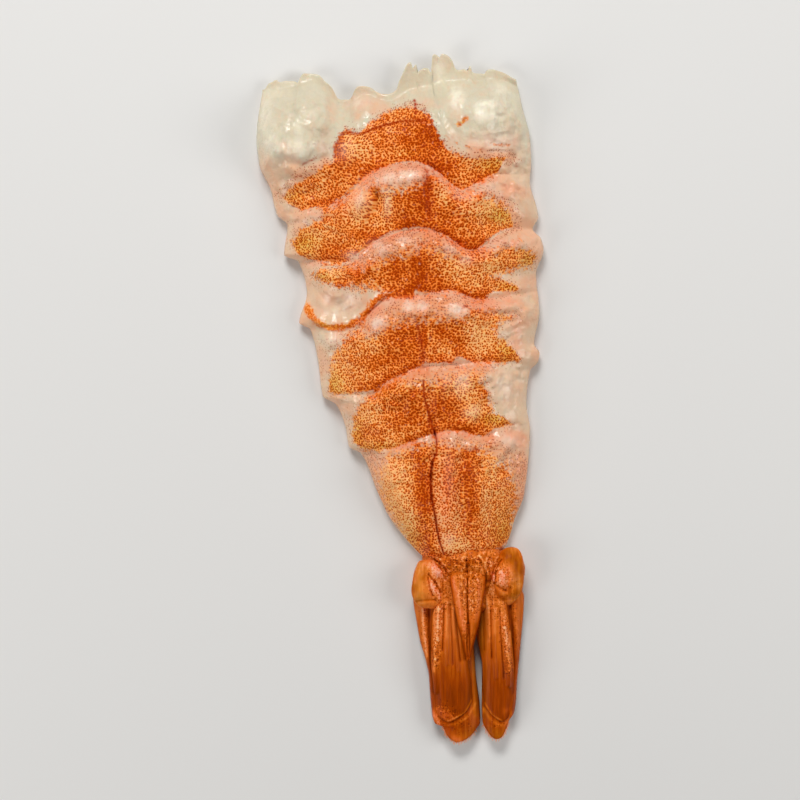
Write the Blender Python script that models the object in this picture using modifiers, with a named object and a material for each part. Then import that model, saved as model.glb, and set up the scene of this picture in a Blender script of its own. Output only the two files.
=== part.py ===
"""One cooked sushi shrimp, peeled down to the tail, cut open along the belly and pressed flat, back up.

The peeled flesh is one slab that keeps the shape of its six body segments: each one swells behind a
curved groove and thins towards the next. The head end is a torn, lumpy cut. The tail keeps its shell: two
joint knobs, the pointed middle plate, and on each side an outer blade with a shorter inner blade on it.

Lengths below are in millimetres. +Y runs to the head end, +X to the right as seen from above, and Z is up
from the surface that the shrimp lies on. Across the flesh, side is -1 at the left edge, 0 on the midline
and 1 at the right edge.
"""

import math

import bmesh
import bpy
import numpy as np
from mathutils import Vector, noise

MM = 0.001

# Outline of the flesh, as (y, x) from the tail joint up to the head end. Each segment's rear corner stands
# out a little.
LEFT_EDGE = [
    (-22.9, 3.6), (-21.6, 2.2), (-17.0, -1.5), (-13.0, -3.4), (-7.8, -5.6),
    (-6.7, -7.4), (-4.0, -7.9), (-0.7, -9.2),
    (0.6, -11.2), (5.0, -11.8), (10.2, -13.0),
    (11.2, -14.6), (15.4, -13.5), (20.0, -14.7),
    (21.0, -16.8), (25.3, -16.3),
    (26.8, -17.8), (30.6, -18.8), (34.1, -20.4), (38.0, -20.8), (45.0, -19.9),
]
RIGHT_EDGE = [
    (-22.9, 13.0), (-21.3, 15.2), (-17.0, 16.7), (-13.5, 18.0), (-4.3, 18.8),
    (-0.4, 18.3), (4.2, 18.8),
    (5.6, 20.0), (6.8, 20.2), (8.2, 19.4), (12.7, 20.2),
    (18.3, 19.7), (21.7, 20.8), (23.4, 20.4),
    (24.8, 19.2), (26.4, 20.0), (31.9, 18.8),
    (34.1, 19.0), (37.9, 18.8), (42.4, 17.7), (46.7, 16.7),
]
MIDLINE = [
    (-23.1, 6.4), (-17.0, 5.0), (-11.2, 4.4), (-5.3, 5.0), (5.3, 3.4), (9.4, 3.0), (22.1, 4.6), (32.7, 3.9),
    (46.0, 1.2),
]

# Grooves between the six segments, head end first, as (side, y).
GROOVES = [
    [(-1, 26.6), (-0.55, 29), (-0.33, 32.8), (-0.08, 34.2), (0.12, 32.4), (0.3, 30.2), (0.65, 32.4), (1, 32.6)],
    [(-1, 20.6), (-0.6, 19.8), (-0.37, 22.8), (-0.1, 24.6), (0.1, 23.8), (0.33, 21.5), (0.66, 24), (1, 24.9)],
    [(-1, 11.4), (-0.7, 10.2), (-0.5, 11.6), (-0.3, 14.8), (-0.05, 15), (0.18, 15.8), (0.46, 14.5), (1, 15.8)],
    [(-1, 0.6), (-0.55, 0.9), (-0.35, 2.8), (-0.04, 4.7), (0.25, 5.1), (0.5, 5.5), (1, 5.2)],
    [(-1, -6.9), (-0.55, -7), (-0.35, -6.3), (-0.02, -4.8), (0.2, -4.3), (0.5, -5.2), (0.8, -3.4), (1, -4)],
]
SEGMENTS = len(GROOVES) + 1
TAIL_JOINT = -22.9
TAIL_JOINT_BOW = 0.4

# The torn head end: lobes that rise above its base line, as (x, reach left, reach right, rise, bluntness).
HEAD_BASE = 43.4
HEAD_LOBES = [
    (-17.0, 3.7, 3.0, 2.9, 3.0),
    (-12.6, 2.0, 3.5, 3.8, 3.0),
    (-5.3, 2.2, 3.8, 2.0, 2.0),
    (2.1, 4.8, 0.7, 5.0, 1.1),
    (3.9, 1.7, 1.5, 4.4, 2.0),
    (5.2, 0.6, 3.2, 6.7, 1.4),
    (11.8, 5.6, 6.6, 4.2, 4.0),
]
HEAD_NOMINAL_Y = 45.0

# Thickness of the flesh along its crest, as (y, height), at the level of the grooves.
CREST = [
    (-23.2, 4.4), (-20.0, 5.0), (-14.0, 5.5), (-4.0, 5.4), (20.0, 5.5), (30.0, 5.3), (36.0, 4.8), (42.0, 3.6),
    (46.0, 2.2), (50.0, 1.2),
]
FLANK_SHARE = 0.46
FLANK_POWER = 2.2

# What each segment adds to that: it rises steeply to its peak behind the groove, then falls slowly, by most
# of the rise, to the lip of the next groove. Towards the flanks only a part of it is kept.
SEGMENT_SWELL = [0.6, 1.5, 1.4, 1.4, 1.2, 0.8]
SWELL_PEAK = 0.2
SWELL_FALL = 0.75
SWELL_LIP = 0.07
SWELL_KEPT_ON_FLANKS = 0.5
SWELL_FLANK_POWER = 1.5

# The two thick lumps of neck flesh at the head corners, as (x, y, radius across, radius along, rise).
LUMPS = [(-15.0, 38.6, 5.2, 7.0, 4.3), (12.4, 40.0, 5.4, 6.0, 3.4), (-12.0, 44.4, 2.4, 2.6, 1.6)]

# Creases along the body, as (offset from the midline, half width, [(y, depth)]).
CREASES = [
    (0.0, 0.5, [
        (-23.0, 0.4), (-20.0, 1.0), (-10.0, 1.3), (-5.0, 0.7), (4.0, 0.5), (20.0, 0.3), (33.0, 0.5), (40.0, 0)]),
    (3.8, 0.9, [(-22.0, 0.2), (-17.0, 0.6), (-9.0, 0.5), (-6.0, 0.0)]),
    (-3.0, 1.2, [(-22.0, 0.1), (-17.0, 0.4), (-9.0, 0.3), (-6.0, 0.0)]),
]

# Rounding of the slab towards its outline, and the shallow channel that the knife left underneath.
RIM_HEIGHT = 1.0
ROUND_SIDES = 3.4
ROUND_HEAD = 5.0
ROUND_JOINT = 1.8
ROUND_UNDER = 1.3
CHANNEL_DEPTH = 0.9
CHANNEL_HALF_WIDTH = 1.7
CHANNEL_FROM = -18.0
CHANNEL_TO = 36.0
CHANNEL_RUN_OUT = 8.0
FLAT_BELOW = 0.05

# Unevenness of the flesh: size of the bumps and how high they stand.
UNEVEN_SIZE = 5.5
UNEVEN_HEIGHT = 0.45

# Grid of the flesh.
FLESH_COLUMNS = 48
ROWS_PER_SEGMENT = 9
COLUMN_PACKING = 0.55
ROW_PACKING = 1.5
MERGED_SLOPE = 0.3
WELD = 0.001

# Tail shell. Each half of the tail fan is a pair of blades, an outer and an inner one that lies on it. Both
# are bent over the same low dome, as (y, x) along its crest and its half width.
SHELL = 0.6
BLADE_GAP = 0.32
BED_HEIGHT = 1.0
BED_DOME = 1.6
BED_ROOT_LIFT = 0.2
BED_ROOT_FROM = -36.0
BED_ROOT_TO = -27.0
LEFT_BED = ([(-50.0, 8.1), (-42.0, 7.8), (-35.0, 6.9), (-28.0, 6.0), (-24.0, 6.4)], 4.4)
RIGHT_BED = ([(-50.0, 14.1), (-42.0, 14.3), (-35.0, 14.5), (-28.0, 14.9), (-24.0, 14.6)], 3.5)

# Each blade: its name, the bed it lies on, its left edge and its right edge as (y, x) from root to tip, and
# where its rib runs across it, or None.
OUTER_BLADES = [
    (
        "tail_blade_outer_left", LEFT_BED,
        [(-30.3, 2.3), (-35, 3), (-38, 3.8), (-42, 4.3), (-45.8, 4.7), (-47, 5.2), (-47.4, 6.2), (-49.9, 7.2)],
        [(-30.3, 7.9), (-33, 10.3), (-36, 10.7), (-40, 11), (-44, 11.5), (-46.6, 11.6), (-49.9, 9.2)],
        None,
    ),
    (
        "tail_blade_outer_right", RIGHT_BED,
        [(-29.9, 13.2), (-33, 11.8), (-38, 11.75), (-44, 11.75), (-46.7, 11.9), (-49.2, 13.1)],
        [(-29.9, 17.7), (-34.8, 17.5), (-38, 17.2), (-43, 16.8), (-45.2, 16.4), (-46.4, 15.8), (-49.2, 14.9)],
        None,
    ),
]
INNER_BLADES = [
    (
        "tail_blade_inner_left", LEFT_BED,
        [(-25.6, 7), (-29, 6.6), (-31, 4.7), (-37, 4.4), (-41, 4.7), (-44.5, 5), (-46.4, 5.6)],
        [(-25.6, 9), (-29, 9.1), (-34, 9.4), (-38, 9.7), (-41, 10.1), (-43.6, 10.3), (-46.4, 8.4)],
        -0.72,
    ),
    (
        "tail_blade_inner_right", RIGHT_BED,
        [(-25.6, 11.5), (-29, 12), (-38, 12.1), (-42, 12.1), (-44.2, 12.2), (-46.3, 13.2)],
        [(-25.6, 12.8), (-29, 13.3), (-31, 15.4), (-35, 16.1), (-39, 16.4), (-42.5, 16.3), (-46.3, 15.6)],
        0.62,
    ),
]

# The corners of an outer blade's root reach up round the knob. A tip is rounded off over its length, down to
# a small share of the blade's width.
OUTER_ROOT_CORNERS = 1.3
OUTER_TIP = 1.2
INNER_TIP = 1.8
TIP_WIDTH_SHARE = 0.2
RIB_HALF_WIDTH = 0.16
RIB_RISE = 0.3
BLADE_COLUMNS = 8
BLADE_ROWS = 16

# The middle plate: a long pointed roof with a furrow down its back, as (y, middle x), (y, half width) and
# (y, height).
PLATE_MIDDLE = [(-23.6, 9.7), (-28.6, 9.75), (-37.4, 9.8)]
PLATE_HALF_WIDTH = [(-23.6, 2.5), (-25.5, 2.6), (-28.6, 2.2), (-31.7, 1.65), (-33.8, 1.15), (-37.4, 0.25)]
PLATE_TOP = [(-37.4, 4.5), (-31.0, 5.0), (-26.0, 5.1), (-23.6, 4.5)]
PLATE_THICK = 0.6
PLATE_FURROW = 0.4
PLATE_FURROW_HALF_WIDTH = 0.25
PLATE_EAVES = 0.7

# Joint knobs at the roots of the blades, as (x, y, radii, turn in degrees about Z).
KNOB_HEIGHT = 2.35
KNOBS = {
    "tail_knob_left": (4.2, -26.45, (2.3, 3.5, 2.3), 12.0),
    "tail_knob_right": (15.55, -25.35, (2.25, 4.1, 2.3), -8.0),
}
KNOB_FLAT = 0.15
KNOB_POWER = 0.85
KNOB_SECTORS = 20
KNOB_RINGS = 12

FLESH_COLOUR = (0.72, 0.34, 0.15)
FLESH_ROUGHNESS = 0.3
SHELL_COLOUR = (0.42, 0.10, 0.02)
SHELL_ROUGHNESS = 0.25


def through(stations, at):
    """A smooth curve through (position, value) stations that never overshoots them; flat past both ends."""
    where, value = np.array(stations, float).T
    if where[0] > where[-1]:
        where, value = where[::-1], value[::-1]
    step = np.diff(where)
    rise = np.diff(value) / step
    slope = np.zeros(len(where))
    runs_on = rise[:-1] * rise[1:] > 0
    slope[1:-1][runs_on] = 2 / (1 / rise[:-1][runs_on] + 1 / rise[1:][runs_on])
    slope[0], slope[-1] = rise[0], rise[-1]
    at = np.clip(at, where[0], where[-1])
    i = np.clip(np.searchsorted(where, at) - 1, 0, len(step) - 1)
    t = (at - where[i]) / step[i]
    ends = value[i] * (1 + 2 * t) * (1 - t) ** 2 + value[i + 1] * t * t * (3 - 2 * t)
    return ends + step[i] * t * (1 - t) * (slope[i] * (1 - t) - slope[i + 1] * t)


def ease(start, end, at):
    """0 before start, 1 after end, and an S curve between them."""
    t = np.clip((at - start) / (end - start), 0, 1)
    return t * t * (3 - 2 * t)


def rounded(distance, radius):
    """Height of a quarter-round edge, from 0 on the outline to 1 at the radius and beyond."""
    short = 1 - np.clip(distance / radius, 0, 1)
    return np.sqrt(1 - short * short)


def bell(offset, half_width):
    """1 at no offset, falling to about a third at the half width."""
    return np.exp(-((offset / half_width) ** 2))


def uneven(x, y, size):
    """Smooth bumps between about -1 and 1, the same on every run."""
    return np.array([noise.noise(Vector((px / size, py / size, 0))) for px, py in zip(x, y)])


def spread(side, y):
    """x of a point whose side and y are known."""
    middle = through(MIDLINE, y)
    reach = np.where(side < 0, middle - through(LEFT_EDGE, y), through(RIGHT_EDGE, y) - middle)
    return middle + side * reach


def joint_edge(side):
    """y of the end at the tail joint, a little bowed."""
    return TAIL_JOINT - TAIL_JOINT_BOW * (1 - side * side)


def head_edge(side):
    """y of the torn head end."""
    x = spread(side, HEAD_NOMINAL_Y)
    top = np.zeros_like(x)
    for centre, left, right, rise, bluntness in HEAD_LOBES:
        share = np.abs(x - centre) / np.where(x < centre, left, right)
        top = np.maximum(top, rise * (1 - share**bluntness))
    return HEAD_BASE + top


def flesh_plan(across, along):
    """Grid points seen from above: x, y, side, segment, and the share of the segment that is ahead of each."""
    half = 2 * across - 1
    even = np.abs(half)
    packed = (1 - np.cos(math.pi * even)) / 2
    side = np.sign(half) * (even + COLUMN_PACKING * (packed - even))
    passed = along * SEGMENTS
    segment = np.minimum(passed.astype(int), SEGMENTS - 1)
    share = (passed - segment) ** ROW_PACKING
    curves = np.array([head_edge(side)] + [through(groove, side) for groove in GROOVES] + [joint_edge(side)])
    column = np.arange(len(side))
    y = curves[segment, column] * (1 - share) + curves[segment + 1, column] * share
    return spread(side, y), y, side, segment, share


def swell(side, segment, share):
    """How far a segment stands above its grooves. The first one has no groove ahead of it."""
    fall = 1 - SWELL_FALL * ease(SWELL_PEAK, 1, share)
    body = ease(0, SWELL_PEAK, share) * fall * ease(1, 1 - SWELL_LIP, share)
    neck = np.sin(math.pi * share)
    kept = 1 - (1 - SWELL_KEPT_ON_FLANKS) * np.abs(side) ** SWELL_FLANK_POWER
    return np.array(SEGMENT_SWELL)[segment] * np.where(segment == 0, neck, body) * kept


def edge_distances(x, y, side):
    """Distances in from the left edge, the right edge, the head end and the tail joint."""
    return x - through(LEFT_EDGE, y), through(RIGHT_EDGE, y) - x, head_edge(side) - y, y - joint_edge(side)


def flesh_top(across, along):
    """The back of the shrimp."""
    x, y, side, segment, share = flesh_plan(across, along)
    flank = FLANK_SHARE + (1 - FLANK_SHARE) * (1 - np.abs(side) ** FLANK_POWER)
    height = through(CREST, y) * flank
    height += swell(side, segment, share)
    for lump_x, lump_y, radius_x, radius_y, rise in LUMPS:
        height += rise * bell(np.hypot((x - lump_x) / radius_x, (y - lump_y) / radius_y), 1)
    for offset, half_width, depths in CREASES:
        height -= through(depths, y) * bell(x - through(MIDLINE, y) - offset, half_width)
    height += UNEVEN_HEIGHT * uneven(x, y, UNEVEN_SIZE)
    edge = np.ones_like(x)
    radii = (ROUND_SIDES, ROUND_SIDES, ROUND_HEAD, ROUND_JOINT)
    for distance, radius in zip(edge_distances(x, y, side), radii):
        edge *= rounded(distance, radius)
    return np.column_stack((x, y, RIM_HEIGHT + (height - RIM_HEIGHT) * edge)) * MM


def flesh_underside(across, along):
    """The cut side: flat, but for the channel and the lift at the outline."""
    x, y, side, _, _ = flesh_plan(across, along)
    edge = np.ones_like(x)
    for distance in edge_distances(x, y, side):
        edge *= rounded(distance, ROUND_UNDER)
    channel = CHANNEL_DEPTH * bell(x - through(MIDLINE, y), CHANNEL_HALF_WIDTH)
    channel *= ease(CHANNEL_FROM, CHANNEL_FROM + CHANNEL_RUN_OUT, y)
    channel *= ease(CHANNEL_TO, CHANNEL_TO - CHANNEL_RUN_OUT, y)
    height = RIM_HEIGHT * (1 - edge) + channel * edge
    height[height < FLAT_BELOW] = 0
    return np.column_stack((x, y, height)) * MM


def shaped_grid(columns, rows, place):
    """A sheet of quads, facing up, whose points place(across, along) gives; both run from 0 to 1."""
    sheet = bmesh.new()
    bmesh.ops.create_grid(sheet, x_segments=columns, y_segments=rows, size=1)
    flat = np.array([corner.co for corner in sheet.verts])
    points = place((flat[:, 0] + 1) / 2, (1 - flat[:, 1]) / 2)
    for corner, point in zip(sheet.verts, points):
        corner.co = point
    return sheet


def finished(name, shape, material, collection):
    """Makes the object of a bmesh, smooth shaded, in the collection."""
    mesh = bpy.data.meshes.new(name)
    shape.to_mesh(mesh)
    shape.free()
    mesh.shade_smooth()
    mesh.materials.append(material)
    made = bpy.data.objects.new(name, mesh)
    collection.objects.link(made)
    return made


def thicken(sheet, thickness):
    """Gives an open sheet its thickness, below the surface that was drawn."""
    shell = sheet.modifiers.new("shell", "SOLIDIFY")
    shell.thickness = thickness * MM
    shell.offset = -1


def wet_material(name, colour, roughness):
    """A plain, smooth finish."""
    material = bpy.data.materials.new(name)
    material.use_nodes = True
    surface = material.node_tree.nodes["Principled BSDF"]
    surface.inputs["Base Color"].default_value = (*colour, 1)
    surface.inputs["Roughness"].default_value = roughness
    surface.inputs["Metallic"].default_value = 0
    return material


def make_flesh(material, collection):
    """The slab: an upper and a lower sheet on the same outline, welded along it."""
    rows = ROWS_PER_SEGMENT * SEGMENTS
    under = shaped_grid(FLESH_COLUMNS, rows, flesh_underside)
    inner_corners = [corner for corner in under.verts if not corner.is_boundary]
    inner_edges = [edge for edge in under.edges if not edge.is_boundary]
    slope = math.radians(MERGED_SLOPE)
    bmesh.ops.dissolve_limit(under, angle_limit=slope, verts=inner_corners, edges=inner_edges)
    bmesh.ops.reverse_faces(under, faces=under.faces)
    lower = bpy.data.meshes.new("flesh_underside")
    under.to_mesh(lower)
    under.free()
    slab = shaped_grid(FLESH_COLUMNS, rows, flesh_top)
    slab.from_mesh(lower)
    bpy.data.meshes.remove(lower)
    bmesh.ops.remove_doubles(slab, verts=slab.verts, dist=WELD * MM)
    finished("flesh", slab, material, collection)


def bed_height(bed, x, y):
    """The dome that a pair of blades shares, a little higher at the root."""
    crest, half_width = bed
    dome = BED_DOME * (1 - ((x - through(crest, y)) / half_width) ** 2)
    return BED_HEIGHT + dome + BED_ROOT_LIFT * ease(BED_ROOT_FROM, BED_ROOT_TO, y)


def make_blade(name, bed, left_edge, right_edge, rib_side, root_corners, tip_length, lift, material, owner):
    """A thin leaf of shell bent over its bed: an open sheet, thickened downwards."""

    def place(across, along):
        root, tip = left_edge[0][0], left_edge[-1][0]
        side = 2 * across - 1
        y = root + (tip - root) * np.sin(along * math.pi / 2)
        left, right = through(left_edge, y), through(right_edge, y)
        width = (right - left) * (TIP_WIDTH_SHARE + (1 - TIP_WIDTH_SHARE) * rounded(y - tip, tip_length))
        x = (left + right) / 2 + side * width / 2
        y = y + root_corners * side * side * (1 - along) ** 3
        height = bed_height(bed, x, y) + lift
        if rib_side is not None:
            height += RIB_RISE * bell(side - rib_side, RIB_HALF_WIDTH) * np.cos(along * math.pi / 2)
        return np.column_stack((x, y, height)) * MM

    blade = finished(name, shaped_grid(BLADE_COLUMNS, BLADE_ROWS, place), material, owner)
    thicken(blade, SHELL)


def make_plate(material, collection):
    """The pointed middle plate, a thin roof with a furrow, lying over the roots of the inner blades."""

    def place(across, along):
        root, tip = PLATE_MIDDLE[0][0], PLATE_MIDDLE[-1][0]
        side = 2 * across - 1
        y = root + (tip - root) * along
        x = through(PLATE_MIDDLE, y) + side * through(PLATE_HALF_WIDTH, y)
        fall = PLATE_EAVES * side * side + PLATE_FURROW * bell(side, PLATE_FURROW_HALF_WIDTH)
        return np.column_stack((x, y, through(PLATE_TOP, y) - fall)) * MM

    plate = finished("tail_middle_plate", shaped_grid(BLADE_COLUMNS, BLADE_ROWS, place), material, collection)
    thicken(plate, PLATE_THICK)


def make_knob(name, x, y, radii, turn, material, collection):
    """A blunt bean of shell at the root of the blades, flat where it lies down."""
    knob = bmesh.new()
    bmesh.ops.create_uvsphere(knob, u_segments=KNOB_SECTORS, v_segments=KNOB_RINGS, radius=1)
    for corner in knob.verts:
        blunt = Vector([math.copysign(abs(c) ** KNOB_POWER, c) * size for c, size in zip(corner.co, radii)])
        blunt.z = max(blunt.z, KNOB_FLAT - KNOB_HEIGHT)
        corner.co = blunt * MM
    bean = finished(name, knob, material, collection)
    bean.location = Vector((x, y, KNOB_HEIGHT)) * MM
    bean.rotation_euler.z = math.radians(turn)


def build():
    """Clears the scene and makes the shrimp."""
    for old in list(bpy.data.objects):
        bpy.data.objects.remove(old)
    shrimp = bpy.data.collections.new("sushi_shrimp")
    bpy.context.scene.collection.children.link(shrimp)
    flesh_finish = wet_material("cooked_flesh", FLESH_COLOUR, FLESH_ROUGHNESS)
    shell_finish = wet_material("cooked_shell", SHELL_COLOUR, SHELL_ROUGHNESS)
    make_flesh(flesh_finish, shrimp)
    for blade in OUTER_BLADES:
        make_blade(*blade, OUTER_ROOT_CORNERS, OUTER_TIP, 0, shell_finish, shrimp)
    for blade in INNER_BLADES:
        make_blade(*blade, 0, INNER_TIP, SHELL + BLADE_GAP, shell_finish, shrimp)
    make_plate(shell_finish, shrimp)
    for name, knob in KNOBS.items():
        make_knob(name, *knob, shell_finish, shrimp)


build()
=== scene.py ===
"""The looks of one cooked sushi shrimp, peeled down to the tail, cut open along the belly and pressed flat.

Shapes are worked out in millimetres, as they lie on the table, back up: +Y runs to the head end, +X to the
right as seen from above, and Z up. Across the flesh, side is -1 at its left edge, 0 on its midline and 1 at
its right edge.
"""

import math

import bmesh
import bpy
import numpy as np
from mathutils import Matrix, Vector, noise


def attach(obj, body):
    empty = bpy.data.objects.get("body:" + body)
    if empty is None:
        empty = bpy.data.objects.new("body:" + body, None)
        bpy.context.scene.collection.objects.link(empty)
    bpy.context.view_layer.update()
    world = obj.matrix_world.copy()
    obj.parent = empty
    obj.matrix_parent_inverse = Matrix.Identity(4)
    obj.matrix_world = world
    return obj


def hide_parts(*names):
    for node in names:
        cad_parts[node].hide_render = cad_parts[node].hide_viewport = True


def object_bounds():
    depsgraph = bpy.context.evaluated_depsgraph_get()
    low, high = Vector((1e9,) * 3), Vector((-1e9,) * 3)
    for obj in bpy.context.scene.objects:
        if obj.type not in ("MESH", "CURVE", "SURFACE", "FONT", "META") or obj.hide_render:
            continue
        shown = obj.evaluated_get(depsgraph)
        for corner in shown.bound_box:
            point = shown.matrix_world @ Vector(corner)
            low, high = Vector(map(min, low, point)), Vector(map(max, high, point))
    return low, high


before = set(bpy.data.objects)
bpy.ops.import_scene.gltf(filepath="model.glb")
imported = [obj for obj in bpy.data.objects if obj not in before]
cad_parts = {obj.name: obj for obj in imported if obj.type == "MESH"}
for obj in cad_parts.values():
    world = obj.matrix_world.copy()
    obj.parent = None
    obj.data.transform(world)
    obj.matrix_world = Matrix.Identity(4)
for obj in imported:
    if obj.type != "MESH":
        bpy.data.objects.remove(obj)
cad_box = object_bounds()
MM = 0.001

# The peeled flesh is cooked muscle in six segments, each with a swollen front that comes out from under the
# rear lip of the one ahead. It is an upper and a lower sheet on one outline, drawn by the same curves as the
# solid that it replaces, with the furrows, folds and bumps of the real one pressed into the upper sheet.
LEFT_EDGE = [
    (-22.9, 3.6), (-21.6, 2.2), (-17.0, -1.5), (-13.0, -3.4), (-7.8, -5.6),
    (-6.7, -7.4), (-4.0, -7.9), (-0.7, -9.2),
    (0.6, -11.2), (5.0, -11.8), (10.2, -13.0),
    (11.2, -14.6), (15.4, -13.5), (20.0, -14.7),
    (21.0, -16.8), (25.3, -16.3),
    (26.8, -17.8), (30.6, -18.8), (34.1, -20.4), (38.0, -20.8), (45.0, -19.9),
]
RIGHT_EDGE = [
    (-22.9, 13.0), (-21.3, 15.2), (-17.0, 16.7), (-13.5, 18.0), (-4.3, 18.8),
    (-0.4, 18.3), (4.2, 18.8),
    (5.6, 20.0), (6.8, 20.2), (8.2, 19.4), (12.7, 20.2),
    (18.3, 19.7), (21.7, 20.8), (23.4, 20.4),
    (24.8, 19.2), (26.4, 20.0), (31.9, 18.8),
    (34.1, 19.0), (37.9, 18.8), (42.4, 17.7), (46.7, 16.7),
]
MIDLINE = [
    (-23.1, 6.4), (-17.0, 5.0), (-11.2, 4.4), (-5.3, 5.0), (5.3, 3.4), (9.4, 3.0), (22.1, 4.6), (32.7, 3.9),
    (46.0, 1.2),
]
GROOVES = [
    [
        (-1, 26.6), (-0.55, 29), (-0.33, 32.8), (-0.08, 34.2), (0.12, 32.4), (0.3, 30.2), (0.65, 32.4),
        (1, 32.6)],
    [(-1, 20.6), (-0.6, 19.8), (-0.37, 22.8), (-0.1, 24.6), (0.1, 23.8), (0.33, 21.5), (0.66, 24), (1, 24.9)],
    [
        (-1, 11.4), (-0.7, 10.2), (-0.5, 11.6), (-0.3, 14.8), (-0.05, 15), (0.18, 15.8), (0.46, 14.5),
        (1, 15.8)],
    [(-1, 0.6), (-0.55, 0.9), (-0.35, 2.8), (-0.04, 4.7), (0.25, 5.1), (0.5, 5.5), (1, 5.2)],
    [(-1, -6.9), (-0.55, -7), (-0.35, -6.3), (-0.02, -4.8), (0.2, -4.3), (0.5, -5.2), (0.8, -3.4), (1, -4)],
]
TAIL_JOINT = -22.9
TAIL_JOINT_BOW = 0.4
HEAD_BASE = 43.4
# The torn head end as (x, y), first with its thin flaps and then only where the flesh is thick.
HEAD_END = [
    (-21.5, 44.6), (-19.6, 45.0), (-19.1, 45.7), (-18.5, 46.0), (-17.9, 46.3), (-17.4, 46.0), (-16.4, 46.15),
    (-15.2, 46.1), (-14.8, 45.9), (-14.4, 46.6), (-13.9, 47.2), (-12.6, 47.2), (-11.5, 46.9), (-10.9, 46.2),
    (-10.0, 45.4), (-9.5, 44.5), (-9.1, 43.7), (-8.6, 43.45), (-7.5, 43.45), (-7.0, 44.0), (-6.6, 44.8),
    (-6.0, 45.35), (-5.2, 45.4), (-4.2, 45.15), (-3.5, 44.6), (-2.7, 44.3), (-1.9, 44.25), (-1.1, 44.5),
    (-0.5, 45.0), (0.0, 46.0), (0.5, 47.0), (0.95, 48.0), (1.35, 48.55), (1.7, 48.7), (1.93, 48.3),
    (2.05, 47.9), (2.35, 48.3), (2.6, 48.4), (2.7, 47.3), (3.1, 47.6), (3.7, 47.9), (4.25, 47.9),
    (4.55, 47.4), (4.7, 47.25), (4.8, 48.9), (4.95, 49.75), (5.25, 49.8), (5.7, 49.6), (5.95, 49.4),
    (6.1, 49.78), (6.35, 49.9), (6.8, 49.82), (7.4, 49.45), (7.85, 48.9), (8.1, 48.3), (8.35, 47.8),
    (8.8, 47.7), (9.5, 47.8), (10.1, 47.6), (10.4, 48.4), (10.7, 47.5), (11.1, 47.25), (12.5, 47.2),
    (12.9, 47.7), (13.6, 47.8), (14.8, 47.5), (15.8, 47.1), (16.6, 46.6), (18.0, 46.0),
]
HEAD_BODY = [
    (-21.5, 44.6), (-18.5, 46.1), (-15.0, 46.2), (-12.6, 47.2), (-11.0, 46.2), (-9.4, 44.2), (-8.0, 43.4),
    (-6.6, 44.4), (-5.2, 45.2), (-3.5, 44.6), (-2.0, 44.2), (-0.5, 44.8), (1.4, 46.0), (3.0, 46.4),
    (4.6, 46.6), (6.3, 47.4), (8.2, 47.4), (11.0, 47.1), (12.8, 47.5), (15.8, 47.0), (18.0, 46.0),
]
HEAD_NOMINAL_Y = 45.0
FLAP_HALF_THICK = 0.28
FLAP_ROUNDING = 0.4
FLAP_ROOT = 1.4
FLAP_CURL = 0.45
CURL_ROOT = 1.0
CREST = [
    (-23.2, 4.4), (-20.0, 5.0), (-14.0, 5.5), (-4.0, 5.4), (20.0, 5.5), (30.0, 5.3), (36.0, 4.8), (42.0, 3.6),
    (46.0, 2.2), (50.0, 1.2),
]
FLANK_SHARE = 0.46
FLANK_POWER = 2.2
SEGMENT_SWELL = [0.6, 1.5, 1.4, 1.4, 1.2, 0.8]
SWELL_PEAK = 0.2
SWELL_FALL = 0.75
SWELL_LIP = 0.07
SWELL_KEPT_ON_FLANKS = 0.5
SWELL_FLANK_POWER = 1.5
LUMPS = [(-15.0, 38.6, 5.2, 7.0, 4.3), (12.4, 40.0, 5.4, 6.0, 3.4), (-12.6, 44.2, 2.6, 2.8, 0.9)]
CREASES = [
    (0.0, 0.5, [
        (-23.0, 0.3), (-20.0, 0.6), (-10.0, 0.8), (-5.0, 0.5), (4.0, 0.4), (20.0, 0.2), (33.0, 0.3),
        (40.0, 0)]),
    (3.8, 0.9, [(-22.0, 0.2), (-17.0, 0.6), (-9.0, 0.5), (-6.0, 0.0)]),
    (-3.0, 1.2, [(-22.0, 0.1), (-17.0, 0.4), (-9.0, 0.3), (-6.0, 0.0)]),
]
RIM_HEIGHT = 1.0
# How far in the flesh is rounded off from its left, right, head and joint outline, above and underneath.
ROUND_ABOVE = (3.4, 3.4, 6.5, 1.8)
ROUND_UNDER = (1.3, 1.3, 1.3, 1.3)
HEAD_SLOPE = 2.0
CHANNEL_DEPTH = 0.9
CHANNEL_HALF_WIDTH = 1.7
CHANNEL_FROM = -18.0
CHANNEL_TO = 36.0
CHANNEL_RUN_OUT = 8.0
UNEVEN_SIZE = 5.5
UNEVEN_HEIGHT = 0.45

# The rear lip of each segment and the cut behind it. Both vary along the groove and are lower on the flanks.
LIP_CUT = 0.24
LIP_CUT_HALF_WIDTH = 0.28
LIP_RISE = 0.1
LIP_BACK = 0.8
LIP_HALF_WIDTH = 0.6
LIP_SHARE = 0.7
LIP_VARIES_BY = 0.6
LIP_VARIES_OVER = 3.0
LIP_DRAWN_OUT = 0.3
LIP_FLANK_FALL = 0.6
# Small unevenness of wet muscle, as (size, height). It is stronger where the flesh is bare, on the swollen
# fronts and on the lobes at the head end, and calmer on the flanks. Fronts and their fading are shares of a
# segment's length. Lobes and flanks are ranges of side.
WRINKLES = [(2.6, 0.24), (1.2, 0.2), (0.55, 0.1)]
BARE_WRINKLING = 0.9
FRONT_COMES_OUT = (0.0, 0.08)
FRONT_FADES = (0.25, 0.5)
HEAD_LOBES = (0.5, 0.8)
CALM_FLANKS = (0.6, 0.85)
FLANK_CALM = 0.35
PUCKER_RISE = 0.3
PUCKER_SIZE = 0.8
PUCKER_DRAWN_OUT = 0.5
# The tops of the lobes are pressed flatter above this height.
PRESSED_FROM = 6.8
PRESSED_BY = 0.26
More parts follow.
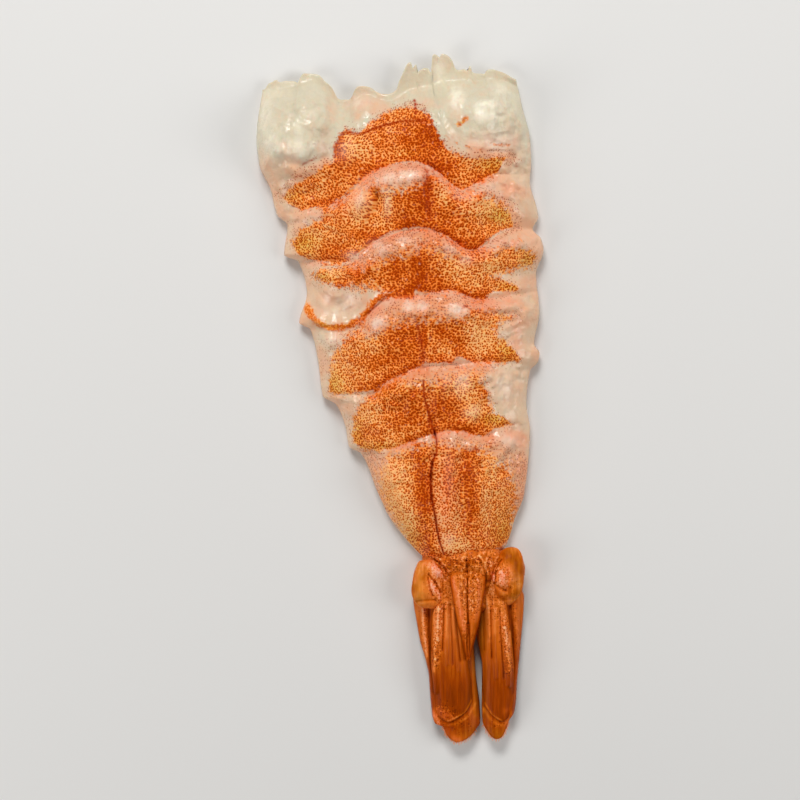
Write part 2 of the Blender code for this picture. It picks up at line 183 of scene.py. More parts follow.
# Folds that stand up and furrows that run down, as (height, half width, line).
BACK_CREASE = [
    (4.9, -4.6), (5.2, -5.6), (5.2, -7.5), (4.7, -8.7), (4.4, -10.6), (4.4, -13.2), (4.7, -15.1),
    (5.1, -16.9), (5.3, -18.6), (5.7, -20.4), (6.4, -22.4),
]
FOURTH_CREASE = [(2.2, 11.9), (2.9, 9.1), (3.4, 5.6)]
FIFTH_CREASE = [(3.3, 2.8), (3.4, 0.6), (4.1, -2.0), (5.0, -5.0)]
SECOND_CREASE = [(3.8, 32.8), (4.0, 31.4), (4.1, 28.3), (4.3, 26.3)]
POCKET_RIM = [
    (-13.5, 13.6), (-13.3, 12.8), (-12.6, 11.9), (-11.6, 11.0), (-10.3, 10.5), (-8.5, 10.4), (-6.8, 10.9),
    (-5.5, 11.7), (-4.5, 12.9), (-3.5, 14.3), (-2.2, 14.9), (-0.2, 15.0), (1.7, 14.8),
]
FIRST_FOLD = [
    (-9.3, 36.2), (-8.5, 38.1), (-7.7, 38.6), (-5.3, 38.3), (-3.7, 39.1), (-2.2, 39.6), (-0.2, 40.1),
    (1.8, 40.2), (3.6, 40.2),
]
NECK_SEAM = [
    (1.6, 44.0), (3.6, 42.2), (5.0, 40.7), (5.7, 38.9), (6.5, 37.4), (8.1, 35.4), (9.9, 34.9), (14.9, 35.0),
]
STRIP_FOLD = [
    (8.4, -7.9), (8.8, -9.6), (8.2, -11.2), (8.1, -13.2), (8.0, -15.5), (9.0, -16.9), (9.8, -18.9),
    (10.7, -21.1), (11.8, -23.1),
]
FOLDS = [
    (0.24, 0.16, [(-12.4, 15.0), (-11.2, 13.4), (-9.0, 12.8), (-7.0, 13.6)]),
    (-0.24, 0.14, [(-11.8, 15.6), (-10.6, 14.2), (-8.8, 13.7), (-7.4, 14.4)]),
    (0.24, 0.16, [(-10.8, 15.8), (-9.6, 14.9), (-8.4, 14.9)]),
    (0.16, 0.2, [(-1.4, 33.4), (0.6, 32.8), (2.6, 32.8)]),
    (-0.14, 0.18, [(-4.6, 31.6), (-2.4, 31.2), (-0.4, 31.6)]),
    (0.14, 0.2, [(-5.8, 20.6), (-4.0, 22.0), (-2.2, 22.2)]),
    (-0.14, 0.16, [(-3.0, 22.9), (0.0, 23.2), (2.8, 22.8)]),
    (-0.14, 0.16, [(-4.8, 11.6), (-2.6, 12.0), (-0.6, 12.6)]),
    (-0.14, 0.16, [(5.0, 13.8), (6.2, 12.8), (6.4, 11.6)]),
    (0.26, 0.24, [(-15.8, 40.8), (-14.2, 39.4), (-13.0, 38.8), (-11.4, 37.4)]),
    (-0.22, 0.2, [(-15.4, 40.0), (-14.0, 38.8), (-12.9, 38.2), (-11.6, 36.8)]),
    (0.24, 0.22, [(-14.6, 38.0), (-13.4, 36.8), (-12.4, 36.6), (-11.2, 37.0)]),
    (0.26, 0.22, [(-13.2, 40.4), (-12.4, 39.2), (-12.5, 38.2), (-12.9, 36.6)]),
    (-0.3, 0.2, [(-11.0, 40.6), (-11.8, 39.4), (-11.7, 38.4), (-11.0, 37.0)]),
    (-0.18, 0.22, [(-17.0, 42.4), (-15.4, 41.2), (-13.2, 41.0), (-11.6, 42.0)]),
    (0.2, 0.24, [(-17.6, 40.4), (-16.4, 39.0), (-16.2, 37.6)]), (0.26, 0.15, [(-18.6, 37.6), (-17.9, 35.2)]),
    (0.26, 0.15, [(-17.9, 37.8), (-17.1, 35.0)]), (0.26, 0.15, [(-17.1, 37.4), (-16.4, 34.9)]),
    (0.26, 0.15, [(-16.4, 37.6), (-15.6, 35.6)]),
    (-0.14, 0.14, [(-10.2, 42.6), (-10.0, 39.0), (-10.2, 36.0), (-9.9, 34.0)]),
    (0.12, 0.16, [(-8.0, 44.4), (-7.2, 42.4), (-7.6, 40.4)]),
    (0.12, 0.16, [(-4.6, 45.0), (-4.2, 43.0), (-5.0, 41.4)]),
    (-0.12, 0.14, [(-1.8, 45.2), (-1.4, 43.8), (-2.2, 42.6)]),
    (0.12, 0.16, [(2.2, 46.0), (3.2, 44.2), (3.4, 42.6)]),
    (0.16, 0.18, [
        (4.7, 43.0), (5.6, 40.6), (6.6, 38.6), (7.8, 37.0), (9.6, 36.2), (12.6, 35.8), (15.6, 36.0)]),
    (-0.12, 0.2, [(5.5, 43.2), (6.4, 40.8), (7.3, 39.0), (8.6, 37.7), (10.6, 36.9), (13.6, 36.8)]),
    (0.12, 0.16, [(9.0, 38.4), (12.0, 37.8), (15.0, 38.4)]),
    (-0.1, 0.16, [(12.8, 46.2), (13.4, 44.4), (15.0, 43.4)]),
    (0.12, 0.2, [(6.0, 46.4), (6.4, 45.0), (7.6, 44.6)]),
    (0.12, 0.18, [(15.4, 44.8), (15.0, 41.4), (15.6, 38.2)]),
    (-0.12, 0.16, [(16.2, 44.4), (16.0, 40.6), (16.6, 37.0)]),
    (0.16, 0.2, [(8.0, 29.6), (10.2, 28.4), (12.6, 28.2)]),
    (0.16, 0.2, [(7.4, 28.0), (9.6, 26.8), (12.8, 26.6), (14.6, 25.6)]),
    (-0.16, 0.18, [(6.6, 26.6), (9.2, 25.4), (12.0, 24.8)]),
    (-0.2, 0.3, [(-3.4, 30.6), (-3.2, 28.6), (-3.4, 26.6)]),
    (0.2, 0.3, [(-5.4, 30.2), (-5.4, 28.0), (-6.2, 26.4)]),
    (0.16, 0.25, [(-2.1, 29.8), (-1.8, 28.0), (-2.3, 26.4)]),
    (0.14, 0.18, [(-13.6, 27.2), (-11.6, 25.4), (-9.0, 24.4)]),
    (0.12, 0.16, [(-12.8, 25.0), (-10.4, 23.2), (-7.6, 22.6)]),
    (0.14, 0.18, [(8.6, 20.6), (10.8, 19.6), (13.8, 19.8)]),
    (0.12, 0.16, [(9.4, 18.0), (12.0, 17.2), (14.4, 17.4)]),
    (0.14, 0.18, [(-9.4, 18.2), (-6.8, 17.8), (-4.0, 18.6)]),
    (-0.12, 0.16, [(-9.0, 17.2), (-6.2, 16.8), (-3.0, 17.2)]),
    (0.12, 0.16, [(-6.6, 8.4), (-5.2, 7.2), (-5.8, 5.8), (-7.2, 5.6)]),
    (0.14, 0.16, [(9.6, 12.6), (11.8, 11.4), (12.4, 9.4)]),
    (-0.12, 0.16, [(9.0, 11.6), (10.8, 10.6), (11.4, 8.8)]),
    (0.12, 0.16, [(5.6, 7.4), (7.6, 6.6), (9.4, 7.4)]),
    (0.16, 0.16, [(-4.6, -1.2), (-2.2, -1.4), (0.2, -0.6), (2.2, 0.2)]),
    (-0.14, 0.14, [(-4.8, -2.0), (-2.2, -2.2), (0.4, -1.4)]),
    (0.12, 0.16, [(-5.4, -3.4), (-3.2, -4.2), (-0.6, -4.2)]),
    (0.16, 0.2, [(9.0, -1.0), (10.6, -2.0), (10.4, -3.2), (8.6, -3.2)]),
    (0.14, 0.16, [(5.8, 2.6), (7.8, 1.6), (8.4, -0.2)]),
    (0.12, 0.16, [(13.8, -2.2), (15.0, -2.8), (16.0, -3.2)]),
    (0.16, 0.2, [(13.4, 8.6), (15.2, 10.4), (17.2, 11.2)]),
    (-0.16, 0.2, [(14.2, 7.6), (16.0, 9.2), (17.8, 9.8)]),
    (0.08, 0.3, [(13.0, 3.6), (14.6, 1.0), (14.8, -1.8)]),
    (-0.08, 0.25, [(15.4, 4.4), (16.4, 2.0), (16.4, -1.0)]),
    (0.14, 0.2, [(12.6, 30.6), (14.6, 29.2), (16.8, 28.8)]),
    (-0.12, 0.18, [(13.0, 31.4), (15.2, 30.4), (17.2, 30.2)]),
    (-0.2, 0.16, [(4.4, -7.6), (4.6, -11.4), (4.4, -15.4), (5.0, -19.6)]),
    (-0.22, 0.2, [(9.4, -7.2), (9.8, -10.0), (9.2, -13.4), (10.0, -16.6), (9.6, -20.0)]),
    (0.14, 0.2, [(7.6, -8.0), (7.4, -12.0), (7.8, -16.0)]),
    (0.14, 0.2, [(11.4, -8.6), (11.6, -12.4), (11.2, -16.4)]),
    (-0.12, 0.16, [(13.0, -9.4), (13.4, -13.4), (13.0, -17.4)]),
    (0.12, 0.16, [(-1.6, -9.4), (-0.8, -13.6), (0.6, -17.6)]), (-0.34, 0.17, BACK_CREASE),
    (-0.14, 0.18, FOURTH_CREASE), (-0.28, 0.17, FIFTH_CREASE), (-0.2, 0.3, SECOND_CREASE),
    (0.45, 0.5, POCKET_RIM), (0.16, 0.2, FIRST_FOLD),
    (-0.18, 0.15, [(x + 0.1, y - 0.4) for x, y in FIRST_FOLD]), (0.12, 0.5, NECK_SEAM),
    (0.14, 0.3, STRIP_FOLD), (-0.14, 0.2, [(x + 0.45, y) for x, y in STRIP_FOLD]),
    (0.2, 0.2, [(8.1, -15.6), (9.3, -17.6), (10.5, -19.4), (11.1, -21.7)]),
    (-0.35, 0.8, [(-9.4, 44.2), (-9.4, 40.0), (-10.2, 37.4), (-9.8, 35.2)]),
    (-0.15, 0.4, [(-17.0, 33.6), (-15.0, 33.4), (-12.2, 34.1), (-10.3, 34.8)]),
    (-0.25, 0.25, [(-16.6, 43.0), (-16.0, 41.2), (-14.0, 40.0)]),
    (-0.12, 0.5, [(6.2, 44.8), (6.4, 42.0), (7.6, 39.0), (8.8, 36.6)]),
    (-0.25, 0.45, [(10.9, 43.2), (10.3, 41.6), (10.1, 40.0), (9.6, 38.6)]),
    (-0.16, 0.22, [(-3.2, 0.1), (-1.6, -0.2), (0.6, -0.1)]), (-0.12, 0.2, [(-2.4, -1.2), (-0.4, -1.6)]),
    (-0.2, 0.3, [(16.6, -6.6), (16.7, -9.0), (16.5, -12.0)]),
]
# Round bumps and hollows, as (x, y, radius across, radius along, rise).
BUMPS = [
    (-2.6, 31.4, 1.7, 1.0, 0.35), (0.6, 31.6, 1.5, 1.0, 0.4), (2.4, 31.8, 0.9, 0.9, 0.3),
    (-3.2, 29.0, 0.6, 1.6, -0.45), (-5.2, 28.6, 1.2, 2.0, 0.4), (-1.9, 27.6, 0.7, 1.7, 0.35),
    (1.6, 27.8, 1.4, 2.2, 0.25), (6.2, 28.8, 1.2, 2.4, 0.25), (-5.6, 21.0, 1.3, 0.9, 0.3),
    (-2.2, 22.0, 1.4, 0.9, 0.35), (1.4, 22.6, 1.5, 0.8, 0.3), (6.2, 21.8, 1.0, 0.8, 0.3),
    (-3.3, 10.6, 1.3, 1.1, 0.3), (0.9, 12.9, 1.3, 1.1, 0.25), (3.5, 13.0, 1.2, 1.0, 0.25),
    (7.9, 12.5, 1.6, 1.2, 0.4), (2.3, 13.4, 0.3, 1.2, -0.2), (-1.4, 1.2, 1.8, 1.4, 0.25),
    (7.2, 1.4, 1.8, 2.2, 0.3), (9.9, -1.8, 1.6, 1.4, 0.3), (10.4, 3.2, 1.2, 0.9, 0.3),
    (-8.4, 13.0, 3.6, 1.7, -0.75), (-8.6, 12.0, 1.4, 0.7, 0.25), (-7.0, 13.6, 1.0, 0.6, 0.2),
    (15.6, 19.6, 2.6, 1.1, 0.35), (15.0, 23.0, 3.4, 1.2, 0.45), (15.8, 16.6, 2.0, 0.9, 0.3),
    (15.4, 13.4, 1.7, 0.8, 0.35), (17.6, 8.6, 1.6, 1.5, 0.35), (15.5, 1.0, 2.2, 3.4, 0.3),
    (15.6, -6.2, 1.8, 1.0, 0.35), (8.1, 43.0, 1.1, 1.3, 0.8), (12.0, 41.4, 1.9, 1.8, 0.75),
    (-17.6, 43.6, 2.4, 1.8, 0.6), (-15.2, 35.4, 2.6, 1.2, 0.5), (-18.4, 36.6, 1.8, 1.6, 0.4),
    (-11.4, 38.6, 1.6, 2.2, 0.3), (-5.2, 42.6, 2.2, 1.4, 0.35), (-6.0, 35.4, 1.6, 1.9, 0.3),
    (13.6, 27.4, 2.2, 1.6, 0.25),
]

FLESH_COLUMNS = 190
SEGMENT_ROWS = [88, 38, 40, 46, 44, 74]
COLUMN_PACKING = 0.3
ROW_PACKING = 1.25
WELD = 0.002


def through(stations, at):
    """A smooth curve through (position, value) stations that never overshoots them; flat past both ends."""
    where, value = np.array(stations, float).T
    if where[0] > where[-1]:
        where, value = where[::-1], value[::-1]
    step = np.diff(where)
    rise = np.diff(value) / step
    slope = np.zeros(len(where))
    runs_on = rise[:-1] * rise[1:] > 0
    slope[1:-1][runs_on] = 2 / (1 / rise[:-1][runs_on] + 1 / rise[1:][runs_on])
    slope[0], slope[-1] = rise[0], rise[-1]
    at = np.clip(at, where[0], where[-1])
    i = np.clip(np.searchsorted(where, at) - 1, 0, len(step) - 1)
    t = (at - where[i]) / step[i]
    ends = value[i] * (1 + 2 * t) * (1 - t) ** 2 + value[i + 1] * t * t * (3 - 2 * t)
    return ends + step[i] * t * (1 - t) * (slope[i] * (1 - t) - slope[i + 1] * t)


def ease(start, end, at):
    """0 before start, 1 after end, and an S curve between them."""
    t = np.clip((at - start) / (end - start), 0, 1)
    return t * t * (3 - 2 * t)


def rounded(distance, radius):
    """Height of a quarter-round edge, from 0 on the outline to 1 at the radius and beyond."""
    short = 1 - np.clip(distance / radius, 0, 1)
    return np.sqrt(1 - short * short)


def bell(offset, half_width):
    """1 at no offset, falling to about a third at the half width."""
    return np.exp(-((offset / half_width) ** 2))


def uneven(x, y, size, layer=0):
    """Smooth bumps between about -1 and 1, the same on every run."""
    return np.array([noise.noise(Vector((px / size, py / size, layer))) for px, py in zip(x, y)])


def off_line(x, y, line):
    """Distance of each point from a drawn line."""
    nearest = np.full(len(x), np.inf)
    for (ax, ay), (bx, by) in zip(line, line[1:]):
        run = (bx - ax) ** 2 + (by - ay) ** 2
        t = np.clip(((x - ax) * (bx - ax) + (y - ay) * (by - ay)) / run, 0, 1)
        nearest = np.minimum(nearest, np.hypot(x - ax - t * (bx - ax), y - ay - t * (by - ay)))
    return nearest


def within(x, y, outline):
    """Distance of each point in from a closed outline; below 0 outside it."""
    inside = np.zeros(len(x), bool)
    for (ax, ay), (bx, by) in zip(outline, outline[1:] + outline[:1]):
        if ay != by:
            crosses = (ay > y) != (by > y)
            inside ^= crosses & (x < ax + (bx - ax) * (y - ay) / (by - ay))
    return np.where(inside, 1, -1) * off_line(x, y, outline + outline[:1])


def add_spots(x, y, spots):
    """The sum of round spots, as (x, y, radius across, radius along, strength)."""
    total = np.zeros(len(x))
    for spot_x, spot_y, across, along, strength in spots:
        total += strength * bell(np.hypot((x - spot_x) / across, (y - spot_y) / along), 1)
    return total


def add_lines(x, y, lines):
    """The sum of soft lines, as (strength, half width, line)."""
    total = np.zeros(len(x))
    for strength, half_width, line in lines:
        total += strength * bell(off_line(x, y, line), half_width)
    return total


def add_wrinkles(x, y, wrinkles, layer):
    """The sum of uneven layers, as (size, height)."""
    return sum(rise * uneven(x, y, size, layer + number) for number, (size, rise) in enumerate(wrinkles))


def reach_to_edge(to_left, y):
    """How far the left or the right edge is from the midline."""
    middle = through(MIDLINE, y)
    return np.where(to_left, middle - through(LEFT_EDGE, y), through(RIGHT_EDGE, y) - middle)


def x_at(side, y):
    """x of a point whose side and y are known."""
    return through(MIDLINE, y) + side * reach_to_edge(side < 0, y)


def joint_edge(side):
    """y of the end at the tail joint, a little bowed."""
    return TAIL_JOINT - TAIL_JOINT_BOW * (1 - side * side)


def head_edge(side, drawn=HEAD_END):
    """y of the torn head end."""
    return through(drawn, x_at(side, np.full(len(side), HEAD_NOMINAL_Y)))


def rear_edges(side):
    """y of the rear edge of each segment."""
    return [through(groove, side) for groove in GROOVES] + [joint_edge(side)]


def for_columns(side, curve, *drawn):
    """What a curve gives for many points that share few columns."""
    columns, column = np.unique(side, return_inverse=True)
    return curve(columns, *drawn)[column.reshape(-1)]


def flesh_plan(across, along):
    """Grid points seen from above: x, y, side, segment, share of the segment ahead, and its length there."""
    half = 2 * across - 1
    even = np.abs(half)
    packed = (1 - np.cos(math.pi * even)) / 2
    side = np.sign(half) * (even + COLUMN_PACKING * (packed - even))
    starts = np.cumsum([0] + SEGMENT_ROWS) / sum(SEGMENT_ROWS)
    segment = np.clip(np.searchsorted(starts, along, side="right") - 1, 0, len(GROOVES))
    share = np.clip((along - starts[segment]) / np.diff(starts)[segment], 0, 1) ** ROW_PACKING
    columns, column = np.unique(side, return_inverse=True)
    curves = np.array([head_edge(columns)] + rear_edges(columns))[:, column.reshape(-1)]
    here = np.arange(len(side))
    length = curves[segment, here] - curves[segment + 1, here]
    y = curves[segment, here] - length * share
    thick_end = for_columns(side, head_edge, HEAD_BODY)
    thick_length = thick_end - curves[1, here]
    share = np.where(segment == 0, np.clip((thick_end - y) / thick_length, 0, 1), share)
    return x_at(side, y), y, side, segment, share, np.where(segment == 0, thick_length, length)


def swell(side, segment, share):
    """How far a segment stands above its grooves. The first one has no groove ahead of it."""
    fall = 1 - SWELL_FALL * ease(SWELL_PEAK, 1, share)
    body = ease(0, SWELL_PEAK, share) * fall * ease(1, 1 - SWELL_LIP, share)
    neck = np.sin(math.pi * share)
    kept = 1 - (1 - SWELL_KEPT_ON_FLANKS) * np.abs(side) ** SWELL_FLANK_POWER
    return np.array(SEGMENT_SWELL)[segment] * np.where(segment == 0, neck, body) * kept


def lips(x, y, side, segment, share, length):
    """The rear lip of a segment, and the cut behind it where the next one comes out."""
    last = len(GROOVES)
    before = (1 - share) * length
    behind = share * length
    to_groove = np.where(segment < last, before, np.inf)
    to_groove = np.minimum(to_groove, np.where(segment > 0, behind, np.inf))
    lip = np.where(segment < last, LIP_RISE * bell(before - LIP_BACK, LIP_HALF_WIDTH), 0)
    cut = LIP_CUT * bell(to_groove, LIP_CUT_HALF_WIDTH)
    varied = LIP_SHARE + LIP_VARIES_BY * uneven(x, y * LIP_DRAWN_OUT, LIP_VARIES_OVER, 11)
    return (lip - cut) * varied * (1 - LIP_FLANK_FALL * side * side)


def flesh_edge(x, y, side, radii):
    """0 on the outline, rising to 1 within the radii for the left, the right, the head and the joint."""
    head = np.minimum(for_columns(side, head_edge, HEAD_BODY), for_columns(side, head_edge))
    left, right, ahead, joint = radii
    edge = rounded(x - through(LEFT_EDGE, y), left) * rounded(through(RIGHT_EDGE, y) - x, right)
    return edge * rounded(y - joint_edge(side), joint) * rounded(head - y, ahead) ** HEAD_SLOPE


def flap(x, y, side):
    """Half the thickness of the thin flaps at the head end, and how far they curl up."""
    past_body = y - for_columns(side, head_edge, HEAD_BODY)
    from_sides = np.minimum(x - through(LEFT_EDGE, y), through(RIGHT_EDGE, y) - x)
    inwards = np.minimum(from_sides, for_columns(side, head_edge) - y)
    edge = rounded(np.maximum(inwards, 0), FLAP_ROUNDING)
    thick = FLAP_HALF_THICK * edge * ease(-FLAP_ROOT, 0, past_body)
    return thick, FLAP_CURL * np.maximum(past_body + CURL_ROOT, 0)


def flesh_top(across, along):
    """The back of the shrimp."""
    x, y, side, segment, share, length = flesh_plan(across, along)
    flank = FLANK_SHARE + (1 - FLANK_SHARE) * (1 - np.abs(side) ** FLANK_POWER)
    height = through(CREST, y) * flank + swell(side, segment, share) + add_spots(x, y, LUMPS)
    for offset, half_width, depths in CREASES:
        height -= through(depths, y) * bell(x - through(MIDLINE, y) - offset, half_width)
    height += UNEVEN_HEIGHT * uneven(x, y, UNEVEN_SIZE)
    height += lips(x, y, side, segment, share, length) + add_spots(x, y, BUMPS) + add_lines(x, y, FOLDS)
    front = ease(*FRONT_COMES_OUT, share) * (1 - ease(*FRONT_FADES, share)) * (segment > 0)
    lobes = ease(*HEAD_LOBES, np.abs(side)) * (segment == 0)
    calm = FLANK_CALM * ease(*CALM_FLANKS, np.abs(side)) * (segment > 0)
    bare = np.maximum(front, lobes) - calm
    height += (1 + BARE_WRINKLING * bare) * add_wrinkles(x, y, WRINKLES, 3)
    height += PUCKER_RISE * front * uneven(x, y * PUCKER_DRAWN_OUT, PUCKER_SIZE, 12)
    height -= PRESSED_BY * np.maximum(height - PRESSED_FROM, 0) ** 2
    edge = flesh_edge(x, y, side, ROUND_ABOVE)
    thick, curl = flap(x, y, side)
    return x, y, RIM_HEIGHT + (height - RIM_HEIGHT) * edge + thick + curl * (1 - edge)


def flesh_underside(across, along):
    """The cut side: flat, but for the channel that the knife left and the lift at the outline."""
    x, y, side, _, _, _ = flesh_plan(across, along)
    edge = flesh_edge(x, y, side, ROUND_UNDER)
    channel = CHANNEL_DEPTH * bell(x - through(MIDLINE, y), CHANNEL_HALF_WIDTH)
    channel *= ease(CHANNEL_FROM, CHANNEL_FROM + CHANNEL_RUN_OUT, y)
    channel *= ease(CHANNEL_TO, CHANNEL_TO - CHANNEL_RUN_OUT, y)
    thick, curl = flap(x, y, side)
    lifted = curl * (1 - flesh_edge(x, y, side, ROUND_ABOVE))
    return x, y, channel * edge + (RIM_HEIGHT - thick + lifted) * (1 - edge)


def made_of(name, shape):
    """The piece of that name, made from a bmesh, which is then done with."""
    mesh = bpy.data.meshes.new(name)
    shape.to_mesh(mesh)
    shape.free()
    piece = bpy.data.objects.new(name, mesh)
    bpy.context.scene.collection.objects.link(piece)
    return piece


def two_sheets(name, columns, rows, top, underside):
    """A closed piece of two sheets welded at the rim, the lower one with half the rows and columns."""
    whole = bmesh.new()
    for place, cells, facing_up in ((top, 1, True), (underside, 2, False)):
        sheet = bmesh.new()
        bmesh.ops.create_grid(sheet, x_segments=columns // cells, y_segments=rows // cells, size=1)
        if not facing_up:
            rim = [edge for edge in sheet.edges if edge.is_boundary]
            bmesh.ops.bisect_edges(sheet, edges=rim, cuts=cells - 1)
        flat = np.array([corner.co for corner in sheet.verts])
        placed = np.column_stack(place((flat[:, 0] + 1) / 2, (1 - flat[:, 1]) / 2)) * MM
        for corner, point in zip(sheet.verts, placed):
            corner.co = point
        if not facing_up:
            bmesh.ops.reverse_faces(sheet, faces=sheet.faces)
        half = bpy.data.meshes.new(name)
        sheet.to_mesh(half)
        sheet.free()
        whole.from_mesh(half)
        bpy.data.meshes.remove(half)
    bmesh.ops.remove_doubles(whole, verts=whole.verts, dist=WELD * MM)
    piece = made_of(name, whole)
    piece.data.shade_smooth()
    return piece


def points_of(piece):
    """x, y and z of the corners of a piece, in millimetres."""
    points = np.empty(len(piece.data.vertices) * 3)
    piece.data.vertices.foreach_get("co", points)
    return points.reshape(-1, 3).T / MM


def paint(piece, name, values):
    """Keeps one number for each corner of a piece, for its material to read."""
    layer = piece.data.attributes.new(name, "FLOAT", "POINT")
    layer.data.foreach_set("value", np.clip(values, 0, 1).astype(np.float32))


flesh = two_sheets("shrimp_flesh", FLESH_COLUMNS, sum(SEGMENT_ROWS), flesh_top, flesh_underside)

# The orange skin that is left on each segment, as its outline and how soft its edge is.
PIGMENT = [
    (0.55, [
        (-16.9, 29.1), (-16.0, 30.2), (-14.1, 31.4), (-12.1, 32.4), (-10.3, 33.7), (-9.5, 34.4), (-9.4, 36.3),
        (-8.5, 38.1), (-7.7, 38.9), (-5.8, 38.2), (-4.3, 39.8), (-2.7, 41.0), (-0.7, 42.1), (1.3, 42.3),
        (3.1, 41.7), (4.3, 40.8), (4.8, 39.5), (5.6, 37.9), (6.4, 36.4), (7.6, 35.2), (9.9, 34.6),
        (12.4, 34.5), (15.4, 34.8), (14.7, 33.9), (14.0, 32.6), (12.4, 31.4), (9.9, 30.5), (8.4, 29.9),
        (6.5, 31.5), (4.8, 32.9), (3.3, 34.0), (1.3, 34.1), (-0.7, 33.9), (-2.7, 32.9), (-4.8, 31.8),
        (-7.3, 30.2), (-8.5, 28.8), (-10.8, 27.0), (-12.1, 27.6), (-14.1, 27.3), (-15.4, 27.8)]),
    (0.9, [
        (-10.8, 27.0), (-11.7, 25.7), (-13.6, 25.1), (-14.9, 24.2), (-15.6, 22.7), (-15.1, 21.3),
        (-13.7, 20.3), (-11.8, 20.0), (-9.6, 19.1), (-7.8, 19.2), (-6.7, 20.5), (-4.8, 21.8), (-3.1, 23.0),
        (-1.5, 24.0), (0.3, 24.5), (2.3, 24.7), (4.3, 24.4), (6.4, 23.0), (8.4, 21.8), (9.9, 21.1),
        (11.4, 21.8), (12.4, 22.8), (13.9, 24.0), (16.2, 24.9), (16.0, 26.6), (14.9, 28.1), (13.4, 28.8),
        (11.4, 29.7), (8.4, 29.9), (6.5, 31.5), (5.0, 32.3), (3.9, 32.6), (3.1, 31.5), (1.3, 30.4),
        (-0.7, 30.1), (-2.7, 30.3), (-4.3, 30.6), (-6.0, 30.2), (-7.3, 30.2), (-8.5, 28.8)]),
    (0.9, [
        (-12.5, 18.0), (-11.2, 19.1), (-8.7, 19.1), (-7.1, 19.5), (-5.7, 19.4), (-2.6, 20.4), (-0.1, 21.1),
        (2.9, 21.9), (4.7, 22.7), (6.9, 21.0), (9.1, 21.5), (11.4, 22.1), (13.8, 21.7), (15.9, 21.9),
        (18.1, 21.5), (19.7, 21.0), (19.5, 19.4), (17.2, 18.8), (15.6, 18.3), (13.7, 17.7), (15.2, 17.2),
        (17.2, 16.1), (16.7, 15.6), (13.2, 15.5), (12.0, 14.0), (10.6, 14.2), (9.4, 14.9), (7.4, 15.3),
        (4.8, 15.1), (2.1, 15.5), (1.6, 14.8), (-0.2, 15.1), (-3.7, 15.7), (-6.0, 15.8), (-8.0, 16.0),
        (-10.3, 16.5), (-12.5, 17.5)]),
    (0.9, [
        (-5.3, 11.4), (-6.5, 10.1), (-8.3, 8.4), (-9.8, 6.1), (-10.2, 3.6), (-10.4, 1.1), (-9.1, 0.8),
        (-6.0, 1.1), (-3.7, 1.4), (-2.5, 1.9), (-0.7, 2.8), (0.8, 3.8), (2.3, 4.5), (3.6, 5.3), (7.4, 5.3),
        (8.5, 6.3), (10.1, 5.3), (12.4, 5.1), (17.5, 5.7), (16.7, 6.9), (15.2, 8.4), (14.0, 9.1),
        (13.7, 10.0), (14.4, 10.9), (17.0, 12.1), (14.7, 12.4), (12.4, 12.9), (10.6, 13.6), (9.5, 13.5),
        (8.9, 12.1), (6.4, 12.0), (4.3, 11.9), (2.3, 11.8), (0.3, 11.5), (-1.5, 10.8), (-3.0, 10.1),
        (-4.5, 9.8)]),
    (0.9, [
        (-4.7, 0.6), (-5.9, -0.9), (-6.8, -2.5), (-7.0, -4.0), (-6.8, -6.0), (-5.5, -7.3), (-1.7, -7.3),
        (0.3, -6.5), (1.8, -6.0), (3.1, -5.4), (4.8, -5.3), (5.6, -4.6), (7.4, -4.5), (8.9, -4.8),
        (10.4, -5.1), (12.4, -5.0), (13.4, -4.2), (16.1, -3.4), (14.9, -2.5), (13.4, -1.7), (13.2, -0.5),
        (12.4, 1.6), (11.7, 3.6), (10.4, 4.5), (8.4, 4.3), (6.4, 3.8), (5.3, 3.3), (4.3, 2.3), (2.8, 2.8),
        (1.3, 2.8), (-0.2, 3.5), (-1.7, 3.2), (-3.2, 1.9)]),
    (1.5, [
        (-1.2, -7.4), (-2.2, -8.6), (-3.2, -10.6), (-2.7, -13.9), (-1.3, -17.0), (0.6, -19.9), (2.4, -22.5),
        (3.9, -23.3), (6.4, -23.9), (9.3, -23.9), (11.8, -23.5), (12.9, -22.5), (14.3, -21.4), (15.9, -20.4),
        (16.7, -17.5), (16.9, -13.9), (16.4, -11.2), (15.2, -9.3), (12.6, -7.2), (12.6, -6.5), (11.8, -6.9),
        (10.4, -6.6), (8.1, -6.5), (5.4, -5.9), (4.8, -5.9), (2.7, -6.0)]),
]
